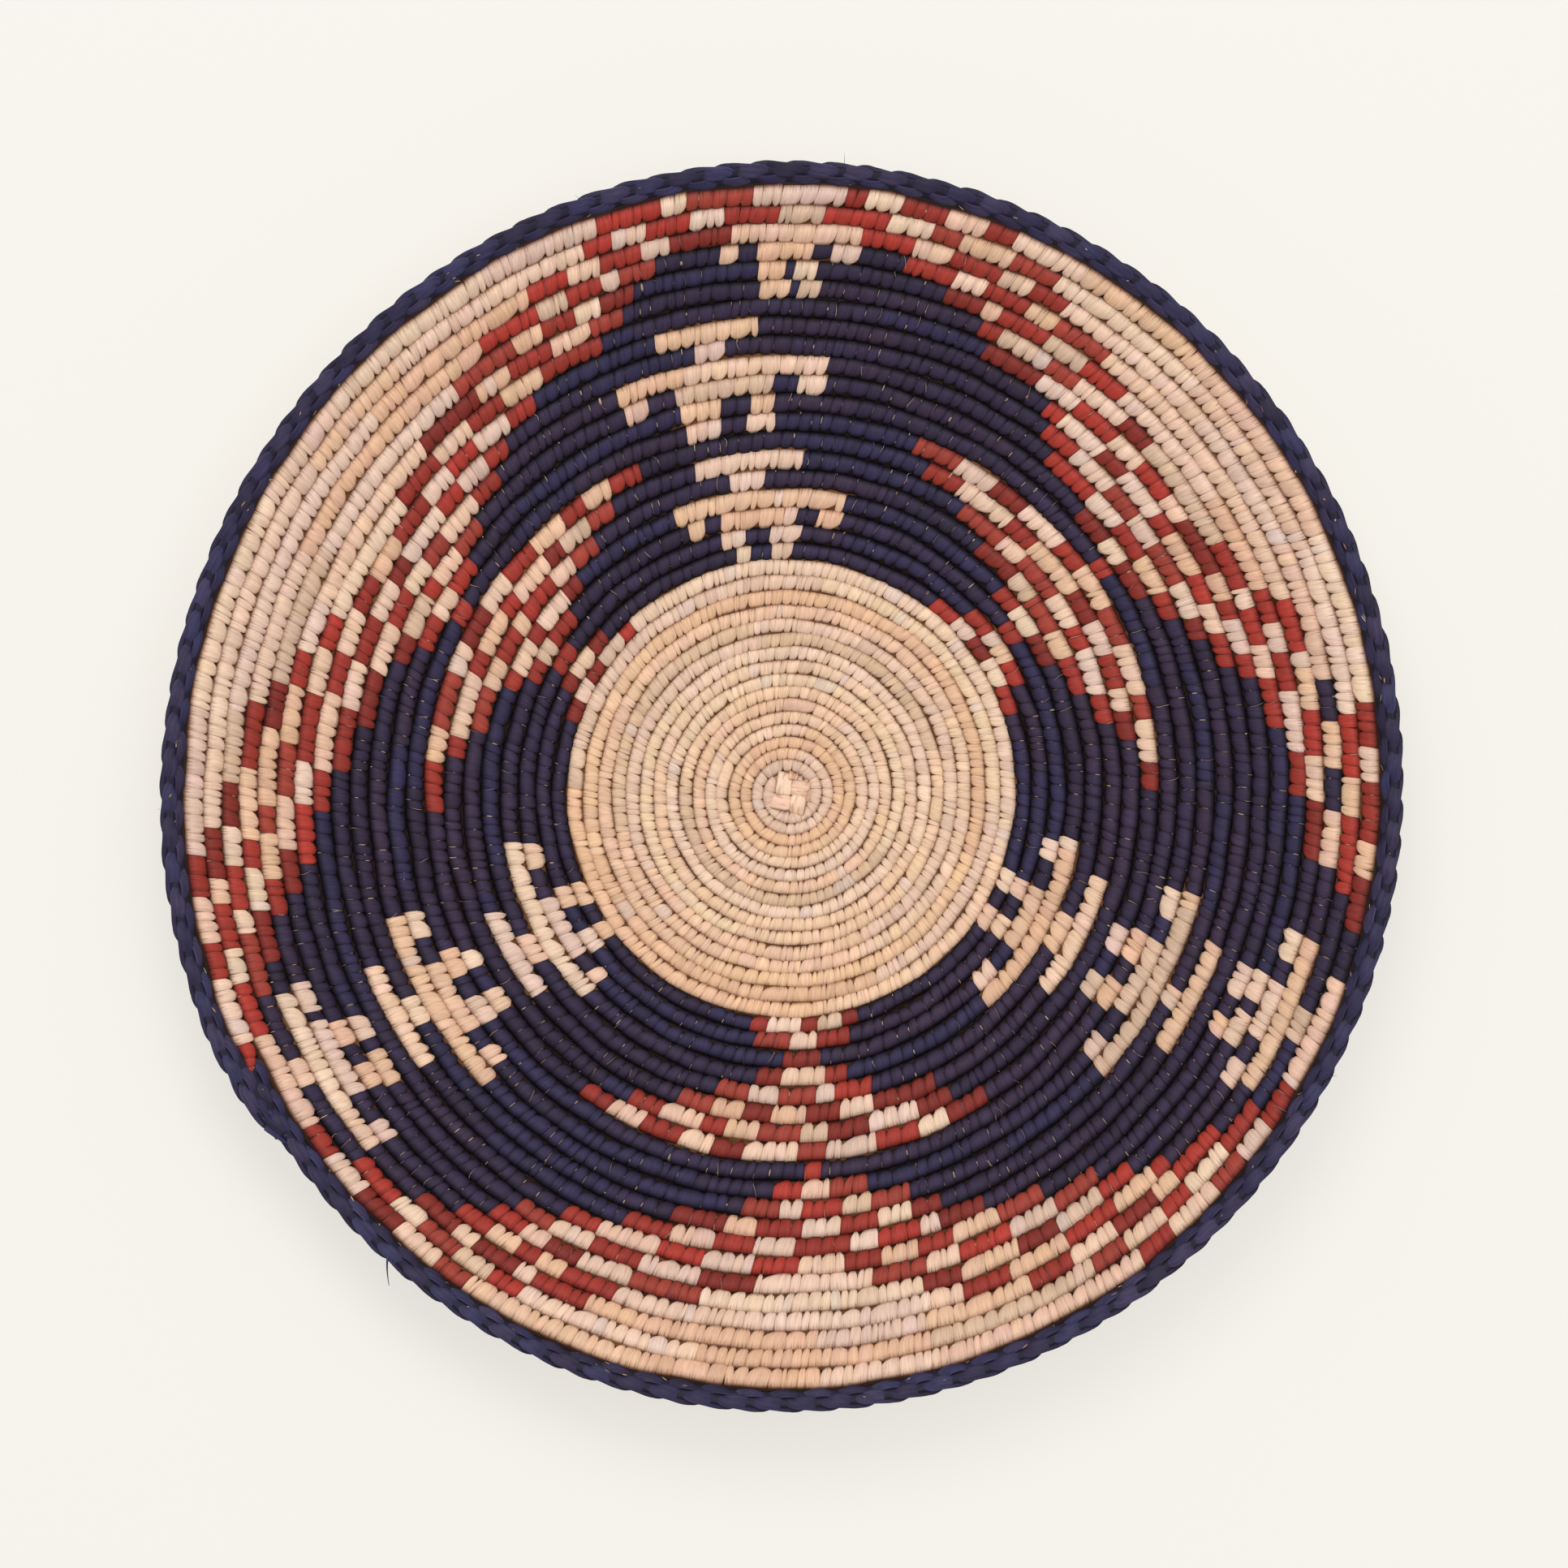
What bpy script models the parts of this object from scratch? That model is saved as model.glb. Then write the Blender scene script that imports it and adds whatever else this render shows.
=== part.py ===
"""Round wall basket of the coiled and sewn kind.

One cord of grass, wrapped and stitched with leaf strips, winds outward from a
small plaited knot. It lies flat at first, then thickens and climbs into a
shallow dish. A three-strand plait finishes the rim.

The basket hangs on a wall. The wall is the plane y = 0, the front looks along
-Y, +Z is up, and the origin is the middle of the knot's flat back.
Every piece is made in the basket's own plane, with x to the right, y up and
z towards the viewer, and hangs from one empty that stands that plane upright.
"""

import math

import bmesh
import bpy
import numpy as np

# Driving sizes, in metres
millimetre = 0.001

# Knot that the coil starts from
knot_side = 6.4 * millimetre
knot_thickness = 3.6 * millimetre
knot_flap_rise = 0.7 * millimetre
knot_edge_round = 0.6 * millimetre
knot_flap_width_share = 0.46

# Coil of the flat centre
centre_turns = 16
centre_first_pitch = 3.48 * millimetre
centre_last_pitch = 4.83 * millimetre

# Coil of the patterned dish, which is the same cord with more grass in it.
# Seen from the front its rows lie closer together as the dish steepens.
field_turns = 20.2
field_first_pitch = 6.32 * millimetre
field_last_pitch = 5.81 * millimetre
field_thickening_turns = 2.0
field_start_angle = math.radians(317)
dish_rise = 32.0 * millimetre
dish_curve_power = 1.8

# The dish is hand made: its rows drift off the knot and are a little oval
drift_right = -1.45 * millimetre
drift_up = 1.38 * millimetre
drift_power = 0.4
oval_swell = 1.6 * millimetre
oval_angle = math.radians(13)

# Tapered end of the cord
tail_length = 14.0 * millimetre
tail_end_share = 0.5

# Plait along the rim, of flat strands with a ridge along their middle
plait_strands = 3
plait_cycles_per_turn = 37
plait_width = 6.8 * millimetre
plait_thickness = 5.1 * millimetre
strand_width_share = 0.33
strand_thickness_share = 0.245
plait_overlap_angle = math.radians(9)
plait_start_gap = 1.2 * millimetre

# Clearances: between turns of one cord, and between neighbouring pieces
turn_gap = 0.56 * millimetre
piece_gap = 0.32 * millimetre

# A tenth of the cord's thickness is pressed flat where it bears on the wall
bearing_share = 0.1

# Fineness of the facets
centre_points_per_turn = 15
field_points_per_turn = 22
plait_points_per_cycle = 8
cord_bevel_resolution = 1
cord_flat_side_tilt = math.radians(30)
weld_distance = 0.01 * millimetre

# Materials: name, colour, roughness
natural_leaf = ("natural leaf", (0.82, 0.58, 0.37), 0.55)
indigo_leaf = ("indigo leaf", (0.028, 0.026, 0.075), 0.5)

collection_name = "coiled_wall_basket"

# Places that follow from the driving sizes
knot_corner_radius = knot_side / math.sqrt(2)
facet_sag_share = math.cos(math.pi / centre_points_per_turn)
centre_start_radius = (knot_corner_radius + piece_gap + centre_first_pitch / 2) / facet_sag_share
centre_edge_radius = centre_start_radius + centre_turns * (centre_first_pitch + centre_last_pitch) / 2
rim_radius = centre_edge_radius + field_turns * (field_first_pitch + field_last_pitch) / 2
coil_turns = centre_turns + field_turns
tail_turns = tail_length / (math.tau * rim_radius)
strand_width = plait_width * strand_width_share
strand_thickness = plait_thickness * strand_thickness_share


# Route of the coil

def spiral_radius(turn):
    """Distance of the cord's middle from the knot after a number of turns."""
    if turn <= centre_turns:
        growth = (centre_last_pitch - centre_first_pitch) / centre_turns
        return centre_start_radius + centre_first_pitch * turn + growth * turn ** 2 / 2
    past = turn - centre_turns
    closing = (field_last_pitch - field_first_pitch) / field_turns
    settled = 1 - math.exp(-past / field_thickening_turns)
    thinner = (field_first_pitch - centre_last_pitch) * field_thickening_turns
    full = field_first_pitch * past + closing * past ** 2 / 2
    return centre_edge_radius + full - thinner * settled


def clock_angle(turn):
    """Angle clockwise from the top. The cord winds outward the other way."""
    return field_start_angle - math.tau * (turn - centre_turns)


def dish_height(turn):
    share = max(0.0, turn - centre_turns) / field_turns
    return dish_rise * share ** dish_curve_power


def row_middle(turn):
    """Middle of the cord in plan, with drift and oval, and its climb."""
    radius = spiral_radius(turn)
    angle = clock_angle(turn)
    drift = (radius / rim_radius) ** drift_power
    oval = (radius / rim_radius) ** 2 * math.cos(2 * (angle - oval_angle))
    radius += oval_swell * oval
    return np.array([radius * math.sin(angle) + drift_right * drift,
                     radius * math.cos(angle) + drift_up * drift,
                     dish_height(turn)])


def row_spacing(turn):
    """Least distance, along the slope, to the rows beside this one."""
    beside = [other for other in (turn - 1, turn + 1) if other >= 0]
    return min(np.linalg.norm(row_middle(turn) - row_middle(other)) for other in beside)


def tail_share(turn):
    """Thickness as a share of the full cord, under 1 in the tapered tail."""
    into_tail = min(max(1 - (coil_turns - turn) / tail_turns, 0.0), 1.0)
    return 1 - (1 - tail_end_share) * into_tail


def full_cord_radius(turn):
    """Half the thickness that leaves the turn gap between faceted rows."""
    coarse = turn < centre_turns + 1
    points = centre_points_per_turn if coarse else field_points_per_turn
    return (row_spacing(turn) * math.cos(math.pi / points) - turn_gap) / 2


def cord_radius(turn):
    return full_cord_radius(turn) * tail_share(turn)


def outward_and_front(turn):
    """Unit vectors up the slope, away from the knot, and square to it."""
    across = spiral_radius(turn + 1) - spiral_radius(turn)
    climb = dish_height(turn + 1) - dish_height(turn)
    slope = math.atan2(climb, across)
    angle = clock_angle(turn)
    radial = np.array([math.sin(angle), math.cos(angle)])
    outward = np.append(radial * math.cos(slope), math.sin(slope))
    front = np.append(-radial * math.sin(slope), math.cos(slope))
    return outward, front


def full_cord_middle(turn):
    """Middle of the cord without its taper. In the flat centre its back
    reaches a little past the wall plane, where it is cut flat."""
    point = row_middle(turn)
    point[2] += full_cord_radius(turn) * (1 - 2 * bearing_share)
    return point


def coil_point(turn, points_per_turn):
    """Middle of the cord on the straight facet between two evenly spaced
    points, so that rows side by side bend together. The middle of a facet is
    where the two coils meet. The tail hugs the row inside it."""
    steps = (turn - centre_turns) * points_per_turn - 0.5
    before = centre_turns + (math.floor(steps) + 0.5) / points_per_turn
    after = before + 1 / points_per_turn
    share = steps - math.floor(steps)
    middle = full_cord_middle(before) * (1 - share) + full_cord_middle(after) * share
    outward, _ = outward_and_front(turn)
    return middle - outward * (full_cord_radius(turn) - cord_radius(turn))


def coil_route(first_turn, last_turn, points_per_turn, start_gap, end_gap):
    """Points and radii of one cord. Each end runs straight for one cord's
    thickness and stops short by its gap."""
    run_in = 2 * cord_radius(first_turn) / (math.tau * spiral_radius(first_turn))
    run_out = 2 * cord_radius(last_turn) / (math.tau * spiral_radius(last_turn))
    count = math.ceil((last_turn - first_turn) * points_per_turn)
    between = [first_turn + (number + 0.5) / points_per_turn for number in range(count)]
    between = [turn for turn in between
               if first_turn + 1.2 * run_in < turn < last_turn - 1.2 * run_out]
    turns = [first_turn, first_turn + run_in, *between, last_turn - run_out, last_turn]
    points = [coil_point(turn, points_per_turn) for turn in turns]
    radii = [cord_radius(turn) for turn in turns]
    points[0] += unit(points[1] - points[0]) * start_gap
    points[-1] += unit(points[-2] - points[-1]) * end_gap
    return points, radii


def unit(vector):
    return vector / np.linalg.norm(vector)


def least_self_gap(points, radii):
    """Least clearance of a cord to its own other turns."""
    points = np.array(points)
    radii = np.array(radii)
    starts = points[:-1]
    steps = points[1:] - starts
    lengths = np.linalg.norm(steps, axis=1)
    travelled = np.concatenate([[0.0], np.cumsum(lengths)])
    least = math.inf
    for number, point in enumerate(points):
        along = np.clip(np.sum((point - starts) * steps, axis=1) / lengths ** 2, 0, 1)
        nearest = starts + steps * along[:, None]
        thickness = radii[:-1] * (1 - along) + radii[1:] * along
        clearance = np.linalg.norm(nearest - point, axis=1) - thickness - radii[number]
        apart = np.abs(travelled[:-1] + along * lengths - travelled[number])
        other_turn = apart > math.pi * np.linalg.norm(point[:2])
        least = min(least, clearance[other_turn].min(initial=math.inf))
    return least


# Route of the plait

def plait_middle(turn):
    """Middle of the plait, outside the row before it. Past a full round it
    steps out and lies beside its own beginning."""
    outward, _ = outward_and_front(turn - 1)
    reach = piece_gap + plait_width / 2
    if turn - 1 <= coil_turns:
        return full_cord_middle(turn - 1) + outward * (full_cord_radius(turn - 1) + reach)
    own_beginning = full_cord_radius(turn - 2) + piece_gap + plait_width
    return full_cord_middle(turn - 2) + outward * (own_beginning + reach)


def strand_route(strand, first_turn, last_turn):
    """Points of one strand, and the tilt that lays it on the slope at each.
    It sways across the plait and passes over and under twice as often, a share
    of a cycle behind the strand before it."""
    sway = (plait_width - strand_width) / 2
    lift = (plait_thickness - strand_thickness) / 2
    cycles = (last_turn - first_turn) * plait_cycles_per_turn
    count = round(cycles * plait_points_per_cycle)
    points = []
    tilts = []
    for number in range(count + 1):
        turn = first_turn + (last_turn - first_turn) * number / count
        phase = math.tau * (cycles * number / count + strand / plait_strands)
        outward, front = outward_and_front(turn - 1)
        points.append(plait_middle(turn) + outward * sway * math.sin(phase)
                      + front * lift * math.sin(2 * phase))
        tilts.append(-math.asin(outward[2]))
    return points, tilts


# Making the pieces

def clear_scene():
    for existing in list(bpy.data.objects):
        bpy.data.objects.remove(existing, do_unlink=True)


def new_collection(name):
    collection = bpy.data.collections.new(name)
    bpy.context.scene.collection.children.link(collection)
    return collection


def make_material(recipe):
    name, colour, roughness = recipe
    material = bpy.data.materials.new(name)
    material.use_nodes = True
    shader = material.node_tree.nodes["Principled BSDF"]
    shader.inputs["Base Color"].default_value = (*colour, 1.0)
    shader.inputs["Roughness"].default_value = roughness
    shader.inputs["Metallic"].default_value = 0.0
    material.diffuse_color = (*colour, 1.0)
    return material


def place(name, data, collection, upright):
    thing = bpy.data.objects.new(name, data)
    collection.objects.link(thing)
    thing.parent = upright
    return thing


def make_guide(thing):
    thing.hide_render = True
    thing.display_type = "WIRE"
    return thing


def add_poly_spline(curve, points, radii, tilts):
    spline = curve.splines.new("POLY")
    spline.points.add(len(points) - 1)
    for spline_point, point, radius, tilt in zip(spline.points, points, radii, tilts):
        spline_point.co = (*point, 1.0)
        spline_point.radius = radius
        spline_point.tilt = tilt
    return spline


def new_curve(name, material):
    curve = bpy.data.curves.new(name, "CURVE")
    curve.dimensions = "3D"
    curve.twist_mode = "Z_UP"
    curve.use_fill_caps = True
    curve.materials.append(material)
    return curve


def make_cord(name, points, radii, material, collection, upright):
    """A capped cord of six sides, as one closed mesh that can be cut."""
    curve = new_curve(name, material)
    curve.bevel_depth = 1.0
    curve.bevel_resolution = cord_bevel_resolution
    add_poly_spline(curve, points, radii, [cord_flat_side_tilt] * len(points))
    tube = place(name, curve, collection, upright)
    bpy.context.view_layer.update()
    evaluated = tube.evaluated_get(bpy.context.evaluated_depsgraph_get())
    mesh = bpy.data.meshes.new_from_object(evaluated)
    world = tube.matrix_world.copy()
    bpy.data.objects.remove(tube, do_unlink=True)
    shape = bmesh.new()
    shape.from_mesh(mesh)
    bmesh.ops.remove_doubles(shape, verts=shape.verts, dist=weld_distance)
    bmesh.ops.recalc_face_normals(shape, faces=shape.faces)
    shape.to_mesh(mesh)
    shape.free()
    cord = bpy.data.objects.new(name, mesh)
    collection.objects.link(cord)
    cord.matrix_world = world
    return cord


def make_strand_section(cutters, upright):
    """Outline that the strands are drawn out of: flat, with a ridge."""
    curve = bpy.data.curves.new("strand_section", "CURVE")
    curve.dimensions = "2D"
    across = strand_width / 2
    through = strand_thickness / 2
    corners = [(across, 0, 0), (0, -through, 0), (-across, 0, 0), (0, through, 0)]
    count = len(corners)
    add_poly_spline(curve, corners, [1.0] * count, [0.0] * count).use_cyclic_u = True
    return make_guide(place("strand_section", curve, cutters, upright))


def make_strand(name, points, tilts, section, material, collection, upright):
    """A strand whose flat side is turned to lie on the dish's slope."""
    curve = new_curve(name, material)
    curve.bevel_mode = "OBJECT"
    curve.bevel_object = section
    add_poly_spline(curve, points, [1.0] * len(points), tilts)
    return place(name, curve, collection, upright)


def box_mesh(name, size, edge_round=0.0):
    mesh = bpy.data.meshes.new(name)
    shape = bmesh.new()
    bmesh.ops.create_cube(shape, size=1.0)
    bmesh.ops.scale(shape, verts=shape.verts, vec=size)
    if edge_round:
        bmesh.ops.bevel(shape, geom=shape.edges[:], offset=edge_round,
                        segments=2, profile=0.5, affect="EDGES")
    shape.to_mesh(mesh)
    shape.free()
    return mesh


def add_boolean(target, operation, other):
    modifier = target.modifiers.new(other.name, "BOOLEAN")
    modifier.operation = operation
    modifier.object = other
    modifier.solver = "EXACT"


def make_wall_cutter(cutters, upright):
    """A slab whose front face is the wall plane. What lies behind it is cut."""
    width = 3 * rim_radius
    depth = 10 * centre_last_pitch
    slab = place("wall_plane", box_mesh("wall_plane", (width, width, depth)), cutters, upright)
    slab.location = (0, 0, -depth / 2)
    return make_guide(slab)


def make_knot(material, collection, cutters, upright, wall):
    """Square knot: a pad, four folded flaps laid round it like a pinwheel with
    each one's end under the next, and the root that the cord starts from."""
    start = row_middle(0)
    ahead = row_middle(2 * cord_radius(0) / (math.tau * centre_start_radius))
    travel = unit(ahead - start)
    facing = math.atan2(travel[1], travel[0])
    pad_top = knot_thickness - knot_flap_rise
    pad_size = (knot_side, knot_side, pad_top + knot_edge_round)
    knot = place("start_knot", box_mesh("start_knot", pad_size, knot_edge_round), collection, upright)
    knot.location = (0, 0, (pad_top - knot_edge_round) / 2)
    knot.rotation_euler = (0, 0, facing)
    knot.data.materials.append(material)

    flap_field = knot_side - 1.5 * knot_edge_round
    flap_width = flap_field * knot_flap_width_share
    flap_length = flap_field - flap_width / 2
    flap_lean = math.atan2(knot_flap_rise, flap_length)
    offset_along = (flap_field - flap_length) / 2
    offset_aside = (flap_field - flap_width) / 2
    for quarter in range(4):
        name = f"knot_flap_{quarter + 1}"
        size = (flap_length, flap_width, 2 * knot_flap_rise)
        flap = make_guide(place(name, box_mesh(name, size, knot_flap_rise / 3), cutters, upright))
        turned = facing + quarter * math.pi / 2
        cosine, sine = math.cos(turned), math.sin(turned)
        flap.location = (offset_along * cosine - offset_aside * sine,
                         offset_along * sine + offset_aside * cosine,
                         pad_top - knot_flap_rise / 2)
        flap.rotation_euler = (0, flap_lean, turned)
        add_boolean(knot, "UNION", flap)

    aside = np.array([travel[1], -travel[0], 0.0])
    root_back = -(knot_side / 2 - knot_edge_round)
    root_face = np.dot(start, travel)
    root_reach = abs(np.dot(start, aside)) + cord_radius(0) - piece_gap
    root_height = 2 * cord_radius(0) * (1 - bearing_share)
    root_size = (root_face - root_back, root_reach, 2 * root_height)
    root_round = root_size[0] / 4
    root = make_guide(place("knot_root", box_mesh("knot_root", root_size, root_round), cutters, upright))
    root.location = (aside * math.copysign(root_reach / 2, np.dot(start, aside))
                     + travel * (root_back + root_face) / 2)
    root.rotation_euler = (0, 0, facing)
    add_boolean(knot, "UNION", root)
    add_boolean(knot, "DIFFERENCE", wall)
    return knot


def main():
    clear_scene()
    collection = new_collection(collection_name)
    cutters = new_collection("cutters")
    upright = bpy.data.objects.new("upright", None)
    collection.objects.link(upright)
    upright.rotation_euler = (math.pi / 2, 0, 0)

    natural = make_material(natural_leaf)
    indigo = make_material(indigo_leaf)
    wall = make_wall_cutter(cutters, upright)
    make_knot(natural, collection, cutters, upright, wall)

    points, radii = coil_route(0, centre_turns, centre_points_per_turn, piece_gap, piece_gap / 2)
    print(f"centre coil: least gap to itself {least_self_gap(points, radii) / millimetre:.2f} mm")
    centre = make_cord("centre_coil", points, radii, natural, collection, upright)
    add_boolean(centre, "DIFFERENCE", wall)

    points, radii = coil_route(centre_turns, coil_turns, field_points_per_turn, piece_gap / 2, 0)
    print(f"field coil: least gap to itself {least_self_gap(points, radii) / millimetre:.2f} mm")
    field = make_cord("field_coil", points, radii, indigo, collection, upright)
    add_boolean(field, "DIFFERENCE", wall)

    section = make_strand_section(cutters, upright)
    plait_start = coil_turns + plait_start_gap / (math.tau * rim_radius)
    plait_end = plait_start + 1 + plait_overlap_angle / math.tau
    for strand in range(plait_strands):
        points, tilts = strand_route(strand, plait_start, plait_end)
        make_strand(f"rim_plait_strand_{strand + 1}", points, tilts, section, indigo,
                    collection, upright)


main()
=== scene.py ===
# %% [markdown]
# # A coiled and stitched wall basket
# The basket is one long cord of grass, wrapped in strips of palm leaf. It winds
# outward from a small knot, and each turn is sewn to the one before. The strips
# are undyed, brick red or blue black, and their changes draw the pattern. A plait
# of three dyed strands finishes the rim. This lesson makes every stitch as a mesh
# of its own, because the light on thousands of small leaf bands is what makes
# basketry look like basketry.

import math

import bpy
import numpy as np
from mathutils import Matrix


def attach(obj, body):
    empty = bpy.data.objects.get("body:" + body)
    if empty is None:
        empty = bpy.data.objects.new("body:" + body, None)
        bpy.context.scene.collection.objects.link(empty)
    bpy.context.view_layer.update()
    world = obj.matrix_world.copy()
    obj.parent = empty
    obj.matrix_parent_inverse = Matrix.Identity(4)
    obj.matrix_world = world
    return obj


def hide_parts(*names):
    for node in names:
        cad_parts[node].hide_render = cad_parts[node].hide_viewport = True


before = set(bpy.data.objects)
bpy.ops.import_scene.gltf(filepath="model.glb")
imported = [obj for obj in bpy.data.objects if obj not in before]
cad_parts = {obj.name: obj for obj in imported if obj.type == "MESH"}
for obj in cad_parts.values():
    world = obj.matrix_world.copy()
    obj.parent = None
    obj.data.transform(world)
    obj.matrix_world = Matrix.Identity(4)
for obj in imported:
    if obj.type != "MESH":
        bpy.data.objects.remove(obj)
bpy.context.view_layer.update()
scene = bpy.context.scene
mm = 0.001
print("nodes to dress:", ", ".join(sorted(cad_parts)))

# %% [markdown]
# ## Camera
# The photograph looks straight at the basket from far away, so the rim is hardly
# bigger than its depth would make it. A long lens from eight metres does the same.
# The middle of the picture lies a little left of and above the knot.

# %% Camera
camera_distance = 8.0
framed_width = 503.5 * mm
framed_depth = 20 * mm
picture_middle = (-2.2 * mm, 3.65 * mm)


def add_object(name, data):
    made = bpy.data.objects.new(name, data)
    scene.collection.objects.link(made)
    return made


camera_data = bpy.data.cameras.new("camera")
camera_data.lens = camera_data.sensor_width * (camera_distance - framed_depth) / framed_width
camera_data.clip_end = 100
scene.camera = add_object("camera", camera_data)
scene.camera.location = (picture_middle[0], -camera_distance, picture_middle[1])
scene.camera.rotation_euler = (math.radians(90), 0, 0)
print(f"lens {camera_data.lens:.0f} mm")

# %% [markdown]
# ## The cord's route
# A coiled basket is a spiral with a past: the flat middle is wound thinly, then
# more grass goes into the cord and the rows climb into a dish. The route here is
# the one of the solid model, in the basket's own plane: x to the right, y up and
# z towards the viewer. It could be a curve object, but thousands of stitches ask
# it where they are, so it is worked out once as a table and read by interpolation.

# %% Sizes of the coil
knot_side = 6.4 * mm
centre_turns = 16
centre_first_pitch = 3.48 * mm
centre_last_pitch = 4.83 * mm
field_turns = 20.2
field_first_pitch = 6.32 * mm
field_last_pitch = 5.81 * mm
field_thickening_turns = 2.0
field_start_degrees = 317
dish_rise = 32.0 * mm
dish_curve_power = 1.8
drift_right = -1.45 * mm
drift_up = 1.38 * mm
drift_power = 0.4
oval_swell = 1.6 * mm
oval_angle = math.radians(13)
turn_gap = 0.56 * mm
piece_gap = 0.32 * mm
bearing_share = 0.1
centre_points_per_turn = 15
field_points_per_turn = 22

knot_corner_radius = knot_side / math.sqrt(2)
centre_start_radius = ((knot_corner_radius + piece_gap + centre_first_pitch / 2)
                       / math.cos(math.pi / centre_points_per_turn))
centre_edge_radius = centre_start_radius + centre_turns * (centre_first_pitch + centre_last_pitch) / 2
rim_radius = centre_edge_radius + field_turns * (field_first_pitch + field_last_pitch) / 2
rim_turn_length = math.tau * rim_radius
coil_turns = centre_turns + field_turns
towards_viewer = np.array([0.0, 0.0, 1.0])


# %% Spiral and dish
def spiral_radius(turn):
    growth = (centre_last_pitch - centre_first_pitch) / centre_turns
    in_centre = centre_start_radius + centre_first_pitch * turn + growth * turn ** 2 / 2
    past = np.maximum(turn - centre_turns, 0)
    closing = (field_last_pitch - field_first_pitch) / field_turns
    settled = 1 - np.exp(-past / field_thickening_turns)
    thinner = (field_first_pitch - centre_last_pitch) * field_thickening_turns
    full = field_first_pitch * past + closing * past ** 2 / 2
    return np.where(turn <= centre_turns, in_centre, centre_edge_radius + full - thinner * settled)


def clock_angle(turn):
    return math.radians(field_start_degrees) - math.tau * (turn - centre_turns)


def dish_height(turn):
    return dish_rise * (np.maximum(turn - centre_turns, 0) / field_turns) ** dish_curve_power


def row_middle(turn):
    radius = spiral_radius(turn)
    angle = clock_angle(turn)
    drift = (radius / rim_radius) ** drift_power
    radius = radius + oval_swell * (radius / rim_radius) ** 2 * np.cos(2 * (angle - oval_angle))
    return np.stack([radius * np.sin(angle) + drift_right * drift,
                     radius * np.cos(angle) + drift_up * drift, dish_height(turn)], axis=-1)


# %% Route of the coil
turns_past_coil = 2.2
route_points = 40000


def unit(vector):
    return vector / np.maximum(np.linalg.norm(vector, axis=-1, keepdims=True), 1e-12)


def running_sum(steps):
    """Sums along the last axis, from zero on."""
    return np.concatenate([np.zeros((*steps.shape[:-1], 1)), np.cumsum(steps, axis=-1)], axis=-1)


def make_route():
    """Turns, the travel up to them, and rows of numbers for each: middle, outward and
    front vectors, half widths inward and outward, and the solid model's radius."""
    turn = np.linspace(0, coil_turns + turns_past_coil, route_points)
    here = row_middle(turn)
    to_next = np.linalg.norm(row_middle(turn + 1) - here, axis=-1)
    to_last = np.where(turn >= 1, np.linalg.norm(here - row_middle(np.maximum(turn - 1, 0)), axis=-1),
                       to_next)
    facets = np.where(turn < centre_turns + 1, centre_points_per_turn, field_points_per_turn)
    solid_radius = (np.minimum(to_next, to_last) * np.cos(math.pi / facets) - turn_gap) / 2
    slope = np.arctan2(dish_height(turn + 1) - dish_height(turn),
                       spiral_radius(turn + 1) - spiral_radius(turn))[:, None]
    angle = clock_angle(turn)
    radial = np.stack([np.sin(angle), np.cos(angle), np.zeros_like(angle)], axis=-1)
    outward = radial * np.cos(slope) + towards_viewer * np.sin(slope)
    front = -radial * np.sin(slope) + towards_viewer * np.cos(slope)
    here[:, 2] += solid_radius * (1 - 2 * bearing_share)
    travel = running_sum(np.linalg.norm(np.diff(here, axis=0), axis=1))
    return turn, travel, np.vstack([here.T, outward.T, front.T, to_last / 2, to_next / 2, solid_radius])


route_turns, route_travel, route_rows = make_route()


def route(turn):
    """The cord at any turns: middle, outward, front, half widths in and out, solid radius."""
    rows = [np.interp(turn, route_turns, row) for row in route_rows]
    return (*[np.stack(rows[first:first + 3], -1) for first in (0, 3, 6)], *rows[9:])


def travel_of(turn):
    return np.interp(turn, route_turns, route_travel)


def turn_of(travel):
    return np.interp(travel, route_travel, route_turns)


cord_length = travel_of(coil_turns)
tail_extra = 10.5 * mm
cord_end = float(turn_of(cord_length + tail_extra))
print(f"cord {cord_length:.1f} m long, rim radius {rim_radius / mm:.0f} mm")

# %% [markdown]
# ## The weaver's chart
# The pattern is a traditional one: three stepped pyramids of nested chevrons in
# red and natural, and three columns of small stepped figures between them, on a
# blue black ground. It could be painted as one picture, but then no stitch would
# be cut where its colour changes. So the chart is written as a maker would note
# it, row by row from the middle out: R, N and B are the leaf's colours, and each
# number is where a run ends, in degrees clockwise from the top. A run with two
# numbers says where it starts too. The ground needs no entry.

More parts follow.
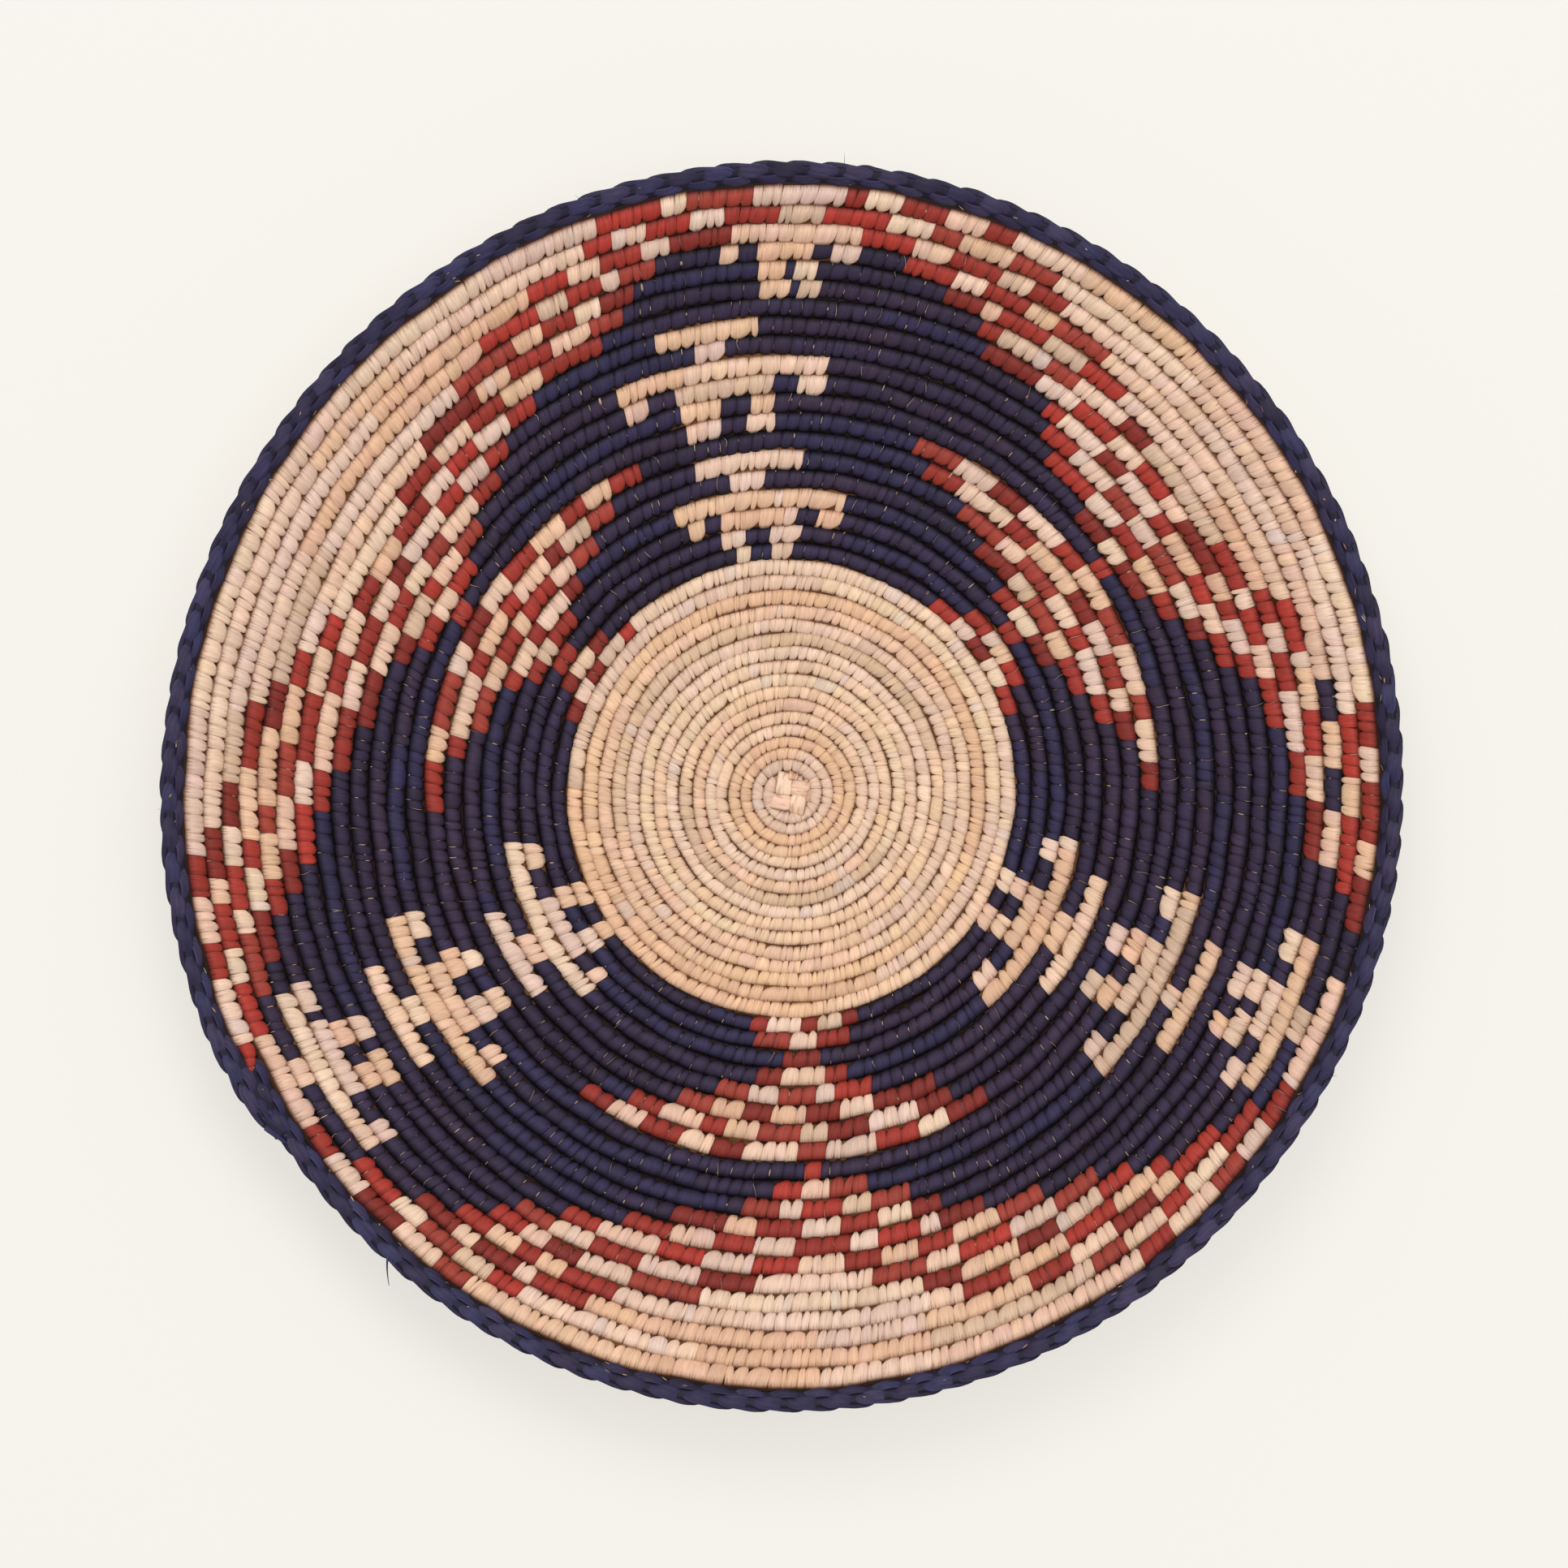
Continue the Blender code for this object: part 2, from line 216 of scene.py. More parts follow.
# %% The weaver's chart
weavers_chart = """
1 R37-44 N-50 R-56.5 N-64 R-71.5 N111-116.5 N121-127 R164.5-168.5 N-174.5 R-178.5 N-186.5 R-190.5
1 N231-235.5 N240.5-246.5 R286.5-292 N-297.5 R-303 N-311 R-317
2 R45-51.5 N-59.5 R-65.5 N112-116.5 N121.5-126.5 R167.5-175 N-181 R-189 N230.5-236 N242-247
2 R293-297 N-304 R-309 N346-349.5 N354.5-359.5
3 R52-57 N101.5-106 N112.5-126.5 N132-137.5 R174.5-182.5 N225-228 N232-246 N252.5-258 R296-302.5
3 N343.5-349 N354.5-361.5
4 R46-51 N-57.5 R-64.5 N100.5-138.5 R169.5-174 N-182.5 R-187.5 N225-259 R292-296.5 N-301 R-308
4 N337.5-341 N344.5-360.5 N365-370
5 R37.5-46 N-51.5 R-59 N-64.5 R-72 N115-122.5 R165.5-172.5 N-176 R-183 N-188.5 R-194.5 N235.5-241.5
5 R289-292.5 N-299 R-302.5 N-310 R-314 N336-370
6 R31-40 N-45 R-53.5 N-60 R-64.5 N-73 R-78.5 N106.5-129 R154.5-166 N-172 R-178 N-184 R-189 N-194.5
6 R-200.5 N231-247.5 R280-288 N-293.5 R-299.5 N-302.5 R-310.5 N-315.5 R-321 N348-354.5
7 R22.5-29 N-39 R-44.5 N-55 R-61 N-67 R-73 N-77 R-82 R153-159 N-167.5 R-174.5 N-179 R-186 N-191.5
7 R-195.5 N-202.5 R-208 R275-278.5 N-289.5 R-293.5 N-301 R-304.5 N-312.5 R-316 N-322 R-327
7 N342.5-361.5
8 R19.5-27 N-33.5 R-39.5 N-47.5 R-52.5 N-60 R-66.5 N-75 R-79 N-86 R-90.5 N113-117.5 N121.5-125.5
8 R148-155 N-160 R-167 N-175 R-179.5 N-188 R-193 N-198 R-204.5 N-210 R-215 N232.5-236.5 N240.5-243.5
8 R266-274 N-279.5 R-288.5 N-293.5 R-300 N-306 R-312.5 N-319 R-323.5 N-328.5 R-334
9 R53-56 N112.5-117.5 N121-125.5 R176-178.5 N232.5-237 N240.5-245 R296-299.5 N343-348.5 N352.5-357
10 R46-51.5 N-55.5 R-61.5 N105-109.5 N113-124.5 N129-132.5 R169.5-175 N-179 R-183 N227-230
10 N233-244 N248-252 R290.5-295.5 N-300 R-305 N343-349 N353.5-357
11 R37.5-45.5 N-51 R-56.5 N-62 R-66 N105-133 R164-169.5 N-173.5 R-179 N-182 R-187 N226-252
11 R287.5-291.5 N-297.5 R-300 N-305 R-310 N335.5-339 N343-357 N360.5-364.5
12 R35-40 N-46.5 R-51.5 N-56 R-62 N-67 R-70 N117.8-120.5 R160.5-164.5 N-169 R-174 N-179 R-185 N-189
12 R-196 N237.5-241.5 R278-285.5 N-292 R-297 N-301.5 R-305.5 N-312 R-316.5 N335.5-364.5
13 R33.5-36 N-42.5 R-46.5 N-53 R-56 N-62 R-66 N-70 R-74.5 N110.5-125.5 R155.5-161.5 N-164 R-169.5
13 N-173 R-180 N-185 R-190 N-195.5 R-201.5 N233-247 R272-280 N-286 R-292 N-297 R-300.5 N-308 R-312
13 N-316.5 R-320 N347-351
14 R23.5-31 N-36.5 R-42.5 N-47 R-52 N-55.5 R-63 N-66.5 R-69 N-73.5 R-76.5 R148.5-154.5 N-160.5
14 R-165 N-169.5 R-174 N-179.5 R-185 N-191 R-196.5 N-204 R-208.5 R267-272 N-281.5 R-286.5 N-292
14 R-296.5 N-302 R-308 N-312.5 R-317 N-322 R-326 N342.5-355.5
15 R22-24.5 N-31 R-35 N-42 R-46 N-60 R-66 N-68.5 R-73 N-77 R-83 N111.5-115.5 N118-120.5 R142-148
15 N-154 R-160.5 N-164.5 R-171 N-184.5 R-191 N-198 R-204 N-209 R-213.5 N233.5-238 N239.5-242.5
15 R261-268 N-273 R-281 N-286.5 R-290.5 N-306 R-312.5 N-318 R-323 N-328.5 R-336.5
16 R17-21.5 N-23.5 R-29.5 N-34.5 R-40 N-67 R-71 N-74.5 R-79 N-86 R-91 N111.5-115 N116.5-120.5
16 R138.5-143 N-149 R-154 N-161 R-165.5 N-190.5 R-198.5 N-204.5 R-208.5 N-211.5 R-215.5 N234.5-237.5
16 N240-243 R258-263 N-269 R-275 N-281.5 R-285.5 N-312.5 R-321 N-325.5 R-331 N-336 R-340
16 N356-359.5 N360.5-363
17 R12-17.5 N-21 R-26 N-29.5 R-36 N-69 R-75 N-81.5 R-86.5 N-91.5 R-98 N106-109.5 N112-118.5
17 N121.5-124.5 R135-137 N-142.5 R-149 N-156 R-161.5 N-199.5 R-205.5 N-208.5 R-211 N-214.5 R-218.5
17 N229-231.5 N235-244 N245-248.5 R256-260 N-265 R-268 N-276.5 R-281.5 N-319.5 R-327.5 N-331 R-335
17 N-338 R-342 N356-359 N360-362.5
18 N0-7 R-12.5 N-16.5 R-22 N-25.5 R-29.5 N-78.5 B-83 N-88 B-92.5 N-98.5 N106.5-123.5 R129-135.5
18 N-138.5 R-144 N-149.5 R-154.5 N-202 R-208 N-210 R-215 N-217.5 R-222.5 N229.5-248 R251.5-257
18 N-261.5 R-264.5 N-272 R-279 N-324.5 R-331.5 N-335 R-339 N-341 R-345 N352-354 N356-362 N364-367
19 N0-3 R-9.5 N-14 R-17 N-22.5 R-27.5 N-82.5 R-89 N-93 R-101 N113.5-117 R124.5-130 N-135.5 R-139
19 N-144 R-148 N-208.5 R-212 N-216 R-220.5 N-224 R-229.5 N238.5-241.5 R248.5-255 N-257.5 R-262
19 N-266 R-270.5 N-331.5 R-336 N-339.5 R-344 N-347 R-353.5 N-367
20 N0-5 R-7 N-10.5 R-15 N-19 R-22 N-81.5 R-86 N-89.5 R-95.5 N-99 R-104.5 N109.5-121 R-125.5
20 N-129.5 R-133.5 N-139.5 R-143.5 N-213.5 R-217 N-222 R-227 N-231.5 R-235 N-245 R-250.5 N-254
20 R-258.5 N-261 R-266 N-338.5 R-341.5 N-345 R-349.5 N-353 R-358.5 N-363
21 R241.5-245 N-251.5 R-255 N-259.5 R-263.5 N-340.5 R-347 N-349.5 R-356 N-365
"""
chart_middle = (1.17 * mm, 2.61 * mm)


# %% Read the chart into runs of colour along the cord
def rows_past_start(turn):
    """Rows since the field's start, as the chart's own middle sees them."""
    middle = route(turn)[0]
    angle = np.arctan2(middle[:, 0] - chart_middle[0], middle[:, 1] - chart_middle[1])
    rows = math.radians(field_start_degrees) / math.tau - np.unwrap(angle) / math.tau
    return rows - round(np.interp(centre_turns, turn, rows))


def read_chart(text):
    """Runs as (start, end, colour), in rows since the field's start."""
    runs = []
    row = 0
    for line in text.strip().split("\n"):
        number, *words = line.split()
        if int(number) != row:
            row, last = int(number), 0.0
        for word in words:
            start, end = word[1:].split("-")
            start = float(start) if start else last
            last = float(end)
            if word[0] != "B":
                ends = [(field_start_degrees - degrees) / 360 + row - 1 for degrees in (last, start)]
                runs.append((*ends, word[0]))
    return sorted(runs)


# %% Fill the ground in
least_run = 0.002
touching = 0.001
chart_rows = rows_past_start(route_turns)


def add_ground(runs):
    """Fills what the chart leaves open in the field with the ground's colour."""
    filled = []
    cursor = 0.0
    for start, end, colour in runs:
        start = max(start, cursor)
        if end - start < least_run:
            continue
        if start - cursor > least_run:
            filled.append((cursor, start, "B"))
        filled.append((start, end, colour))
        cursor = end
    return filled


def lay_runs(runs):
    """Runs without gaps, in turns along the cord, from the plain centre to the cord's end."""
    laid = [(0.0, float(centre_turns), "N")]
    for start, end, colour in runs:
        start, end = np.interp([start, end], chart_rows, route_turns)
        start = max(float(start), laid[-1][1])
        end = min(float(end), cord_end)
        if end <= start:
            continue
        if colour == laid[-1][2] and start - laid[-1][1] < touching:
            start = laid.pop()[0]
        laid.append((start, end, colour))
    laid[-1] = (laid[-1][0], cord_end, laid[-1][2])
    return laid


colour_runs = lay_runs(add_ground(read_chart(weavers_chart)))
print(f"{len(colour_runs)} runs of colour from the knot to turn {colour_runs[-1][1]:.2f}")

# %% [markdown]
# ## Where each stitch sits
# A maker's stitches are never equal. One leaf strip makes a handful of them before
# a new one is laid in, so the shade changes in runs, and each stitch is a little
# wider or narrower than the last. A fixed seed gives the same basket every time.

# %% Leaf shades
chance = np.random.default_rng(1907)


def srgb(colours):
    """Colours as they are seen on a screen, turned into the light that Blender mixes."""
    channels = np.array(colours) / 255
    return np.where(channels <= 0.04045, channels / 12.92, ((channels + 0.055) / 1.055) ** 2.4)


leaf_shades = {
    "N": srgb([(241, 202, 169), (242, 212, 178), (236, 193, 163), (214, 182, 150), (233, 190, 150),
               (238, 207, 184), (230, 182, 144), (241, 205, 176), (226, 193, 173)]),
    "R": srgb([(160, 52, 41), (172, 54, 43), (148, 48, 37), (158, 62, 49), (126, 40, 32)]),
    "B": srgb([(53, 42, 68), (49, 39, 64), (57, 43, 66), (48, 43, 75), (45, 34, 57)]),
}
strip_spread = 0.035
shade_calm = {"centre": 0.35, "N": 0.25, "R": 0.1, "B": 0.2}
shade_spread = {"N": 0.045, "R": 0.05, "B": 0.07}
stitch_tint = np.array([0.0, 0.01, 0.03])
field_tint = np.array([0.96, 0.962, 1.035])
bleached_leaf = srgb((216, 202, 200))
bleached_share = 0.02
bleached_strength = 0.35

# %% Stitches along the cord
centre_stitch_width = 3.3 * mm
field_stitch_width = 4.15 * mm
width_spread = {"N": 0.36, "R": 0.26, "B": 0.28}
stitches_per_strip = {"N": 11, "R": 7, "B": 8}
centre_strip_factor = 2.5
fewest_per_strip = 3


def new_strip(letter, in_centre):
    """How many stitches a strip of leaf makes, and its shade."""
    stitches = chance.poisson(stitches_per_strip[letter] * (centre_strip_factor if in_centre else 1))
    kinds = leaf_shades[letter]
    shade = kinds[chance.integers(len(kinds))] * chance.normal(1, strip_spread)
    calm = shade_calm["centre" if in_centre else letter]
    shade = shade * (1 - calm) + np.mean(kinds, axis=0) * calm
    if letter == "N" and not in_centre:
        shade = shade * field_tint
    return stitches + fewest_per_strip, shade


def lay_stitches(runs):
    """Start, end, colour letter and shade of every stitch."""
    laid = []
    left_on_strip, strip_letter = 0, ""
    for start, end, letter in runs:
        first, last = travel_of(start), travel_of(end)
        in_centre = end <= centre_turns
        width = centre_stitch_width if in_centre else field_stitch_width
        count = max(1, round((last - first) / width))
        widths = np.exp(chance.normal(0, width_spread[letter], count))
        edges = first + (last - first) * (running_sum(widths) / widths.sum())
        for near, far in zip(edges[:-1], edges[1:]):
            if left_on_strip <= 0 or letter != strip_letter:
                strip_letter = letter
                left_on_strip, shade = new_strip(letter, in_centre)
            left_on_strip -= 1
            tinted = shade * chance.normal(1, shade_spread[letter]) * chance.normal(1, stitch_tint)
            bleach = bleached_strength * (chance.random() < bleached_share) * (letter == "N")
            laid.append((near, far, letter, tinted * (1 - bleach) + bleached_leaf * bleach))
    return [np.array(column) for column in zip(*laid)]


stitch_starts, stitch_ends, stitch_letters, stitch_shades = lay_stitches(colour_runs)
stitch_middles = turn_of((stitch_starts + stitch_ends) / 2)
print(len(stitch_starts), "stitches:",
      ", ".join(f"{letter} {np.sum(stitch_letters == letter)}" for letter in "NRB"))

# %% [markdown]
# ## From a block of points to a mesh
# Every piece here is a set of alike closed bands: a stitch goes round the cord, a
# strand of the plait goes along the rim, a loose fibre bends in the air. Each is a
# block of rings of points. One function turns such blocks into one mesh, with the
# rings closed by end faces, so that each band is a small solid. Each band also
# gets its own cell of a map for baking, a second map in millimetres along and
# across the leaf for its fibres, a leaf colour, and a number that paints shade
# where it lies down in a crease or gap, plus one that says where the leaf splits.

# %% Maps of a band
cell_inset, cap_room = 0.04, 0.1
cap_places, cap_half_size = (0.27, 0.73), (0.02, 0.2)
leaf_reach = 900


def bake_map(bands, ring, point):
    """A square cell for each band: its quads' corners, then those of its two caps."""
    rings, around = len(ring) + 1, ring.shape[1]
    side = math.ceil(math.sqrt(bands))
    cell = 1 / side
    corner = np.stack(np.divmod(np.arange(bands), side)[::-1], -1) * cell
    across = cell_inset + ring / (rings - 1) * (1 - 2 * cell_inset - cap_room)
    up = cell_inset + point / around * (1 - 2 * cell_inset)
    quads = np.stack([across, up], -1) * cell + corner[:, None, None, None]
    turn = np.arange(around) / around * math.tau
    circle = np.stack([np.cos(turn), np.sin(turn)], -1) * cap_half_size
    low, high = ((np.array([1 - cell_inset - cap_room / 2, place]) + circle) * cell + corner[:, None]
                 for place in cap_places)
    return quads, low, high[:, ::-1]


def leaf_map(count, across, along):
    """Places on the leaf in millimetres. Each band is cut from another spot of it."""
    parts = [part + chance.uniform(0, leaf_reach, (count, 1, 1)) for part in (across, along)]
    return np.stack(np.broadcast_arrays(*parts), -1)


# %% Blocks of rings to one mesh
shared_slots = {"plait_leaf": "indigo_leaf"}


def looks_inward(block, quads):
    corners = block.reshape(-1, 3)[quads.reshape(-1, 4)]
    normal = np.cross(corners[:, 2] - corners[:, 0], corners[:, 3] - corners[:, 1])
    return np.sum(normal * (corners.mean(axis=1) - block.mean(axis=(0, 1)))) < 0


def to_world(points):
    """The basket's plane stands upright: its z looks at the viewer, along -Y."""
    return np.stack([points[..., 0], -points[..., 2], points[..., 1]], axis=-1)


def add_colours(mesh, name, shape, parts):
    """A colour at each point. A channel that isn't given is 1."""
    values = np.ones((*shape, 4), dtype=np.float32)
    for channel, part in enumerate(parts):
        values[..., channel] = part
    layer = mesh.color_attributes.new(name, "FLOAT_COLOR", "POINT")
    layer.data.foreach_set("color", values.ravel())


def ring_mesh(name, points, fibre_map, shades, material, unshaded_share=1.0, split=0.5):
    """points is (bands, rings, ring points, 3). fibre_map has one more ring point,
    where the ring closes. shades is (bands, 3) or one for all. The last two arguments,
    the share of lit colour and the split, are numbers, or arrays with one a point.
    Below 1 the share of lit colour paints shade: the leaf goes over to its dark crease colour."""
    bands, rings, around, _ = points.shape
    number = np.arange(bands * rings * around).reshape(bands, rings, around)
    ring, point = np.indices((rings - 1, around))
    ring = np.stack([ring, ring + 1, ring + 1, ring], -1)
    point = np.stack([point, point, point + 1, point + 1], -1)
    quads = number[:, ring, point % around]
    turn_round = slice(None, None, -1 if looks_inward(points[0], quads[0]) else None)

    def in_order(quad_corners, *caps):
        """Quads first, then both caps, with each face turned round if need be."""
        parts = [quad_corners[..., turn_round, :], *[cap[:, turn_round] for cap in caps]]
        return np.concatenate([part.reshape(-1, quad_corners.shape[-1]) for part in parts])

    corners = in_order(quads[..., None], number[:, 0, :, None], number[:, -1, ::-1, None])
    maps = {"OFBake": in_order(*bake_map(bands, ring, point)),
            "leaf": in_order(fibre_map[:, ring, point], fibre_map[:, 0, :-1], fibre_map[:, -1, -2::-1])}
    quad_count = quads.size // 4
    starts = np.concatenate([np.arange(quad_count) * 4,
                             quad_count * 4 + np.arange(2 * bands) * around])

    mesh = bpy.data.meshes.new(name)
    mesh.vertices.add(number.size)
    mesh.vertices.foreach_set("co", to_world(points).astype(np.float32).ravel())
    mesh.loops.add(len(corners))
    mesh.loops.foreach_set("vertex_index", corners.astype(np.int32).ravel())
    mesh.polygons.add(len(starts))
    mesh.polygons.foreach_set("loop_start", starts.astype(np.int32))
    mesh.polygons.foreach_set("use_smooth", np.ones(len(starts), dtype=bool))
    mesh.update(calc_edges=True)
    for map_name, values in maps.items():
        layer = mesh.uv_layers.new(name=map_name)
        layer.uv.foreach_set("vector", values.astype(np.float32).ravel())
    add_colours(mesh, "shade", number.shape, shades.T[:, :, None, None])
    # The red of this colour layer is painted shade in creases and gaps. Its green is the leaf's splits.
    add_colours(mesh, "wear", number.shape, (unshaded_share, split))
    mesh.materials.append(material)
    piece = add_object(name, mesh)
    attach(piece, "root")
    # Blender adds .001 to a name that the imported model's own material has taken.
    slot = material.name.partition(".")[0]
    slot = shared_slots.get(slot, slot)
    print(f"{name}: {bands} bands, {len(starts)} faces")
    return piece


# %% [markdown]
# ## Shader maths as plain expressions
# A leaf's colour is a sum of small things: fibres, stains, creases. Written as
# node calls this is long and hard to read. A small class wraps a socket, so that
# `1 - fibre * 0.2` adds the Math nodes by itself.

# %% Shader maths
class Wire:
    """A number socket that Python's operators can be used on."""

    def __init__(self, paint, socket):
        self.paint, self.socket = paint, socket

    def __add__(self, other):
        return self.paint.math("ADD", self, other)

    def __sub__(self, other):
        return self.paint.math("SUBTRACT", self, other)

    def __rsub__(self, other):
        return self.paint.math("SUBTRACT", other, self)

    def __mul__(self, other):
        return self.paint.math("MULTIPLY", self, other)

    __radd__, __rmul__ = __add__, __mul__


class Paint:
    """The nodes of a material or of the world, and how to add to them."""

    def __init__(self, owner):
        owner.use_nodes = True
        self.owner = owner
        self.nodes, self.links = owner.node_tree.nodes, owner.node_tree.links

    def add(self, kind, settings=None, sockets=None, output=0):
        """Adds a node: its settings first, then its sockets' values or links."""
        node = self.nodes.new(kind)
        for name, value in (settings or {}).items():
            if name == "stops":
                elements = node.color_ramp.elements
                while len(elements) < len(value):
                    elements.new(0.5)
                for element, (position, level) in zip(elements, value):
                    element.position = position
                    element.color = (level, level, level, 1)
            else:
                setattr(node, name, value)
        self.join(node, sockets or {})
        return Wire(self, node.outputs[output])

    def join(self, node, sockets):
        for key, value in sockets.items():
            if isinstance(value, Wire):
                self.links.new(value.socket, node.inputs[key])
            else:
                node.inputs[key].default_value = value

    def math(self, operation, first, second):
        return self.add("ShaderNodeMath", {"operation": operation}, {0: first, 1: second})

    def mix(self, factor, first, second, blend="MIX"):
        """A Mix node for colours. Its colour sockets are numbers 6 and 7."""
        return self.add("ShaderNodeMix", {"data_type": "RGBA", "blend_type": blend},
                        {0: factor, 6: first, 7: second}, output=2)

    def streaks(self, leaf, across, along, detail):
        """Noise, with so many spots a millimetre across and along the leaf."""
        where = self.add("ShaderNodeVectorMath", {"operation": "MULTIPLY"},
                         {0: leaf, 1: (across, along, 1.0)})
        return self.add("ShaderNodeTexNoise", {}, {"Vector": where, "Scale": 1.0, "Detail": detail,
                                                   "Roughness": 0.5})


# %% [markdown]
# ## Leaf
# Palm leaf is a sheet of parallel fibres. Along the strip they run in long pale and
# dark streaks, some split open, and dye takes on them unevenly. The streaks come
# from noise stretched along the leaf map. The same noise raises the fibres a little
# and makes them rougher. Where the red of the second colour layer falls, the leaf
# is down in a crease, and it goes over to a dark crease colour: painted shade. Its
# green says where the leaf splits open. Slits darken towards the same colour.

# %% Leaf materials
slit_stops = (0.0, 1.0), (0.36, 1.0), (0.42, 0.0)


def make_leaf(name, crease, streak, stain, shine, roughness=0.6, fibre_height=0.08 * mm):
    paint = Paint(bpy.data.materials.new(name))
    leaf = paint.add("ShaderNodeUVMap", {"uv_map": "leaf"})
    shade = paint.add("ShaderNodeAttribute", {"attribute_name": "shade"})
    wear = paint.add("ShaderNodeAttribute", {"attribute_name": "wear"})
    unshaded_share = paint.add("ShaderNodeSeparateColor", {}, {0: wear})
    split_there = Wire(paint, unshaded_share.socket.node.outputs[1])
    fibre = paint.streaks(leaf, 2.4, 0.12, 3.0)
    broad = paint.streaks(leaf, 0.8, 0.12, 1.0)
    slit = paint.add("ShaderNodeValToRGB", {"stops": slit_stops}, {0: paint.streaks(leaf, 2.6, 0.2, 1.0)})
    level = (fibre - 0.5) * streak + (broad - 0.5) * stain + 1.0
    grey = paint.add("ShaderNodeCombineColor", {}, {0: level, 1: level, 2: level})
    lit = paint.mix(1.0, shade, grey, "MULTIPLY")
    whole = 1 - slit * (split_there * 0.5 + 0.08)
    # The base colour is the lit leaf. It goes over to the painted crease shade where the red of the second
    # colour layer falls, and in slits.
    paint.join(paint.nodes["Principled BSDF"], {
        "Base Color": paint.mix(unshaded_share * whole, (*srgb(crease), 1), lit),
        "Roughness": (fibre - 0.5) * 0.3 + roughness,
        "Normal": paint.add("ShaderNodeBump", {}, {
            "Strength": 0.6, "Distance": fibre_height, "Height": fibre - slit * 0.8}),
        "Specular IOR Level": shine,
    })
    print("made", name)
    return paint.owner


# Each leaf's first colour is its painted crease shade: the dark that it goes over to in creases and gaps.
natural_leaf = make_leaf("natural_leaf", (104, 58, 28), streak=0.5, stain=0.35, shine=0.25)
red_leaf = make_leaf("red_leaf", (40, 8, 4), streak=0.8, stain=0.5, shine=0.28)
indigo_leaf = make_leaf("indigo_leaf", (8, 4, 10), streak=1.2, stain=0.7, shine=0.2)
plait_leaf = make_leaf("plait_leaf", (19, 15, 34), streak=0.9, stain=0.9, shine=0.22,
                       fibre_height=0.06 * mm)
core_grass = make_leaf("core_grass", (20, 10, 9), streak=0.5, stain=0.4, shine=0.2, roughness=0.75,
                       fibre_height=0.1 * mm)

# %% [markdown]
# ## The stitches
# Each stitch is a band of leaf right round the cord. In front it comes from under
# the next row, arches over the cord and ends on the shoulder of the row inside it,
# where it goes through. There it is drawn to a point, so the row's inner edge reads
# as small teeth with dark notches between. The bands could be drawn by a texture on
# a smooth tube, but teeth, notches and the pillow of each band are real shapes, and
# they show on the silhouette and in the light. So each is six rings of sixteen
# points, set on the cord's route.

# %% Shape of one stitch
# One line per point of the ring, in cord radii outward and forward, then how much
# of the band is cut away behind and ahead, how much lit colour natural, red and indigo
# leaf keep there against painted crease shade, and how much the leaf is split there.
ring_profile = np.array([
    (-0.78, 0.00, 0.30, 0.10, 0.05, 0.02, 0.02, 0.5),
    (-1.03, 0.30, 0.40, 0.10, 0.10, 0.05, 0.02, 1.0),
    (-1.14, 0.56, 0.40, 0.14, 0.62, 0.42, 0.10, 1.0),
    (-0.80, 0.80, 0.13, 0.02, 0.96, 0.88, 0.45, 0.4),
    (-0.42, 0.93, 0.00, 0.00, 1.00, 1.00, 0.90, 0.1),
    (0.00, 1.00, 0.00, 0.00, 1.00, 1.00, 1.00, 0.0),
    (0.40, 0.92, 0.00, 0.00, 1.00, 1.00, 0.84, 0.3),
    (0.70, 0.71, 0.00, 0.00, 0.82, 0.70, 0.25, 1.0),
    (0.90, 0.42, 0.00, 0.00, 0.08, 0.05, 0.01, 1.0),
    (0.98, 0.00, 0.00, 0.00, 0.06, 0.02, 0.02, 1.0),
    (0.85, -0.50, 0.00, 0.00, 0.60, 0.50, 0.45, 1.0),
    (0.50, -0.86, 0.00, 0.00, 1.00, 1.00, 1.00, 0.5),
    (0.00, -1.00, 0.00, 0.00, 1.00, 1.00, 1.00, 0.0),
    (-0.42, -0.92, 0.05, 0.00, 1.00, 1.00, 1.00, 0.0),
    (-0.85, -0.72, 0.22, 0.05, 0.95, 0.85, 0.80, 0.4),
    (-1.05, -0.40, 0.50, 0.15, 0.35, 0.20, 0.15, 1.0),
])
band_rings = np.array([0.0, 0.06, 0.3, 0.7, 0.94, 1.0])[:, None]
edge_sink = np.array([0.92, 0.99, 1.0, 1.0, 0.99, 0.92])[:, None]
lean = math.tan(math.radians(9.5))
lean_spread, size_spread = 0.35, 0.018
pillow, pillow_range = 0.025, (0.4, 1.5)
stitch_overlap = 0.03
tooth_reach = {"N": 0.13, "R": 0.02, "B": -0.04}
tooth_reach_range = (-0.06, 0.07)
tooth_from, tooth_over, tooth_off_middle = 0.6, 0.5, 0.1
cut_behind_range, cut_ahead_range = (0.3, 1.35), (0.2, 2.6)
most_cut_behind, most_cut = 0.75, 0.9
# Painted shade along a band's two sides, where it meets the next stitch: by colour, how much of it reaches
# the second ring, and the range of how dark it is at the side.
edge_softness = {"N": 0.1, "R": 0.2, "B": 0.35}
edge_depth_range = (0.45, 1.0)
knot_hug, knot_hug_turns = 0.6, 1.1
leaf_round_cord = 3

# %% Shape of the cord
tail_taper = 12 * mm
tail_tip_share, tail_power = 0.15, 0.6
tail_turn_away, tail_away_power = 4 * mm, 1.5
lowest_leaf = 0.02 * mm
wobble_waves = np.array([(21.0, 0.11), (34.0, 0.14), (57.0, 0.16), (93.0, 0.16)]) * mm
wobble_phases = chance.uniform(0, math.tau, (2, 4))
wobble_from_turns = 4


def tail_share(turn):
    """The cord's thickness in its tail, as a share of the full one."""
    left = (cord_length + tail_extra - travel_of(turn)) / tail_taper
    return tail_tip_share + (1 - tail_tip_share) * np.clip(left, 0, 1) ** tail_power


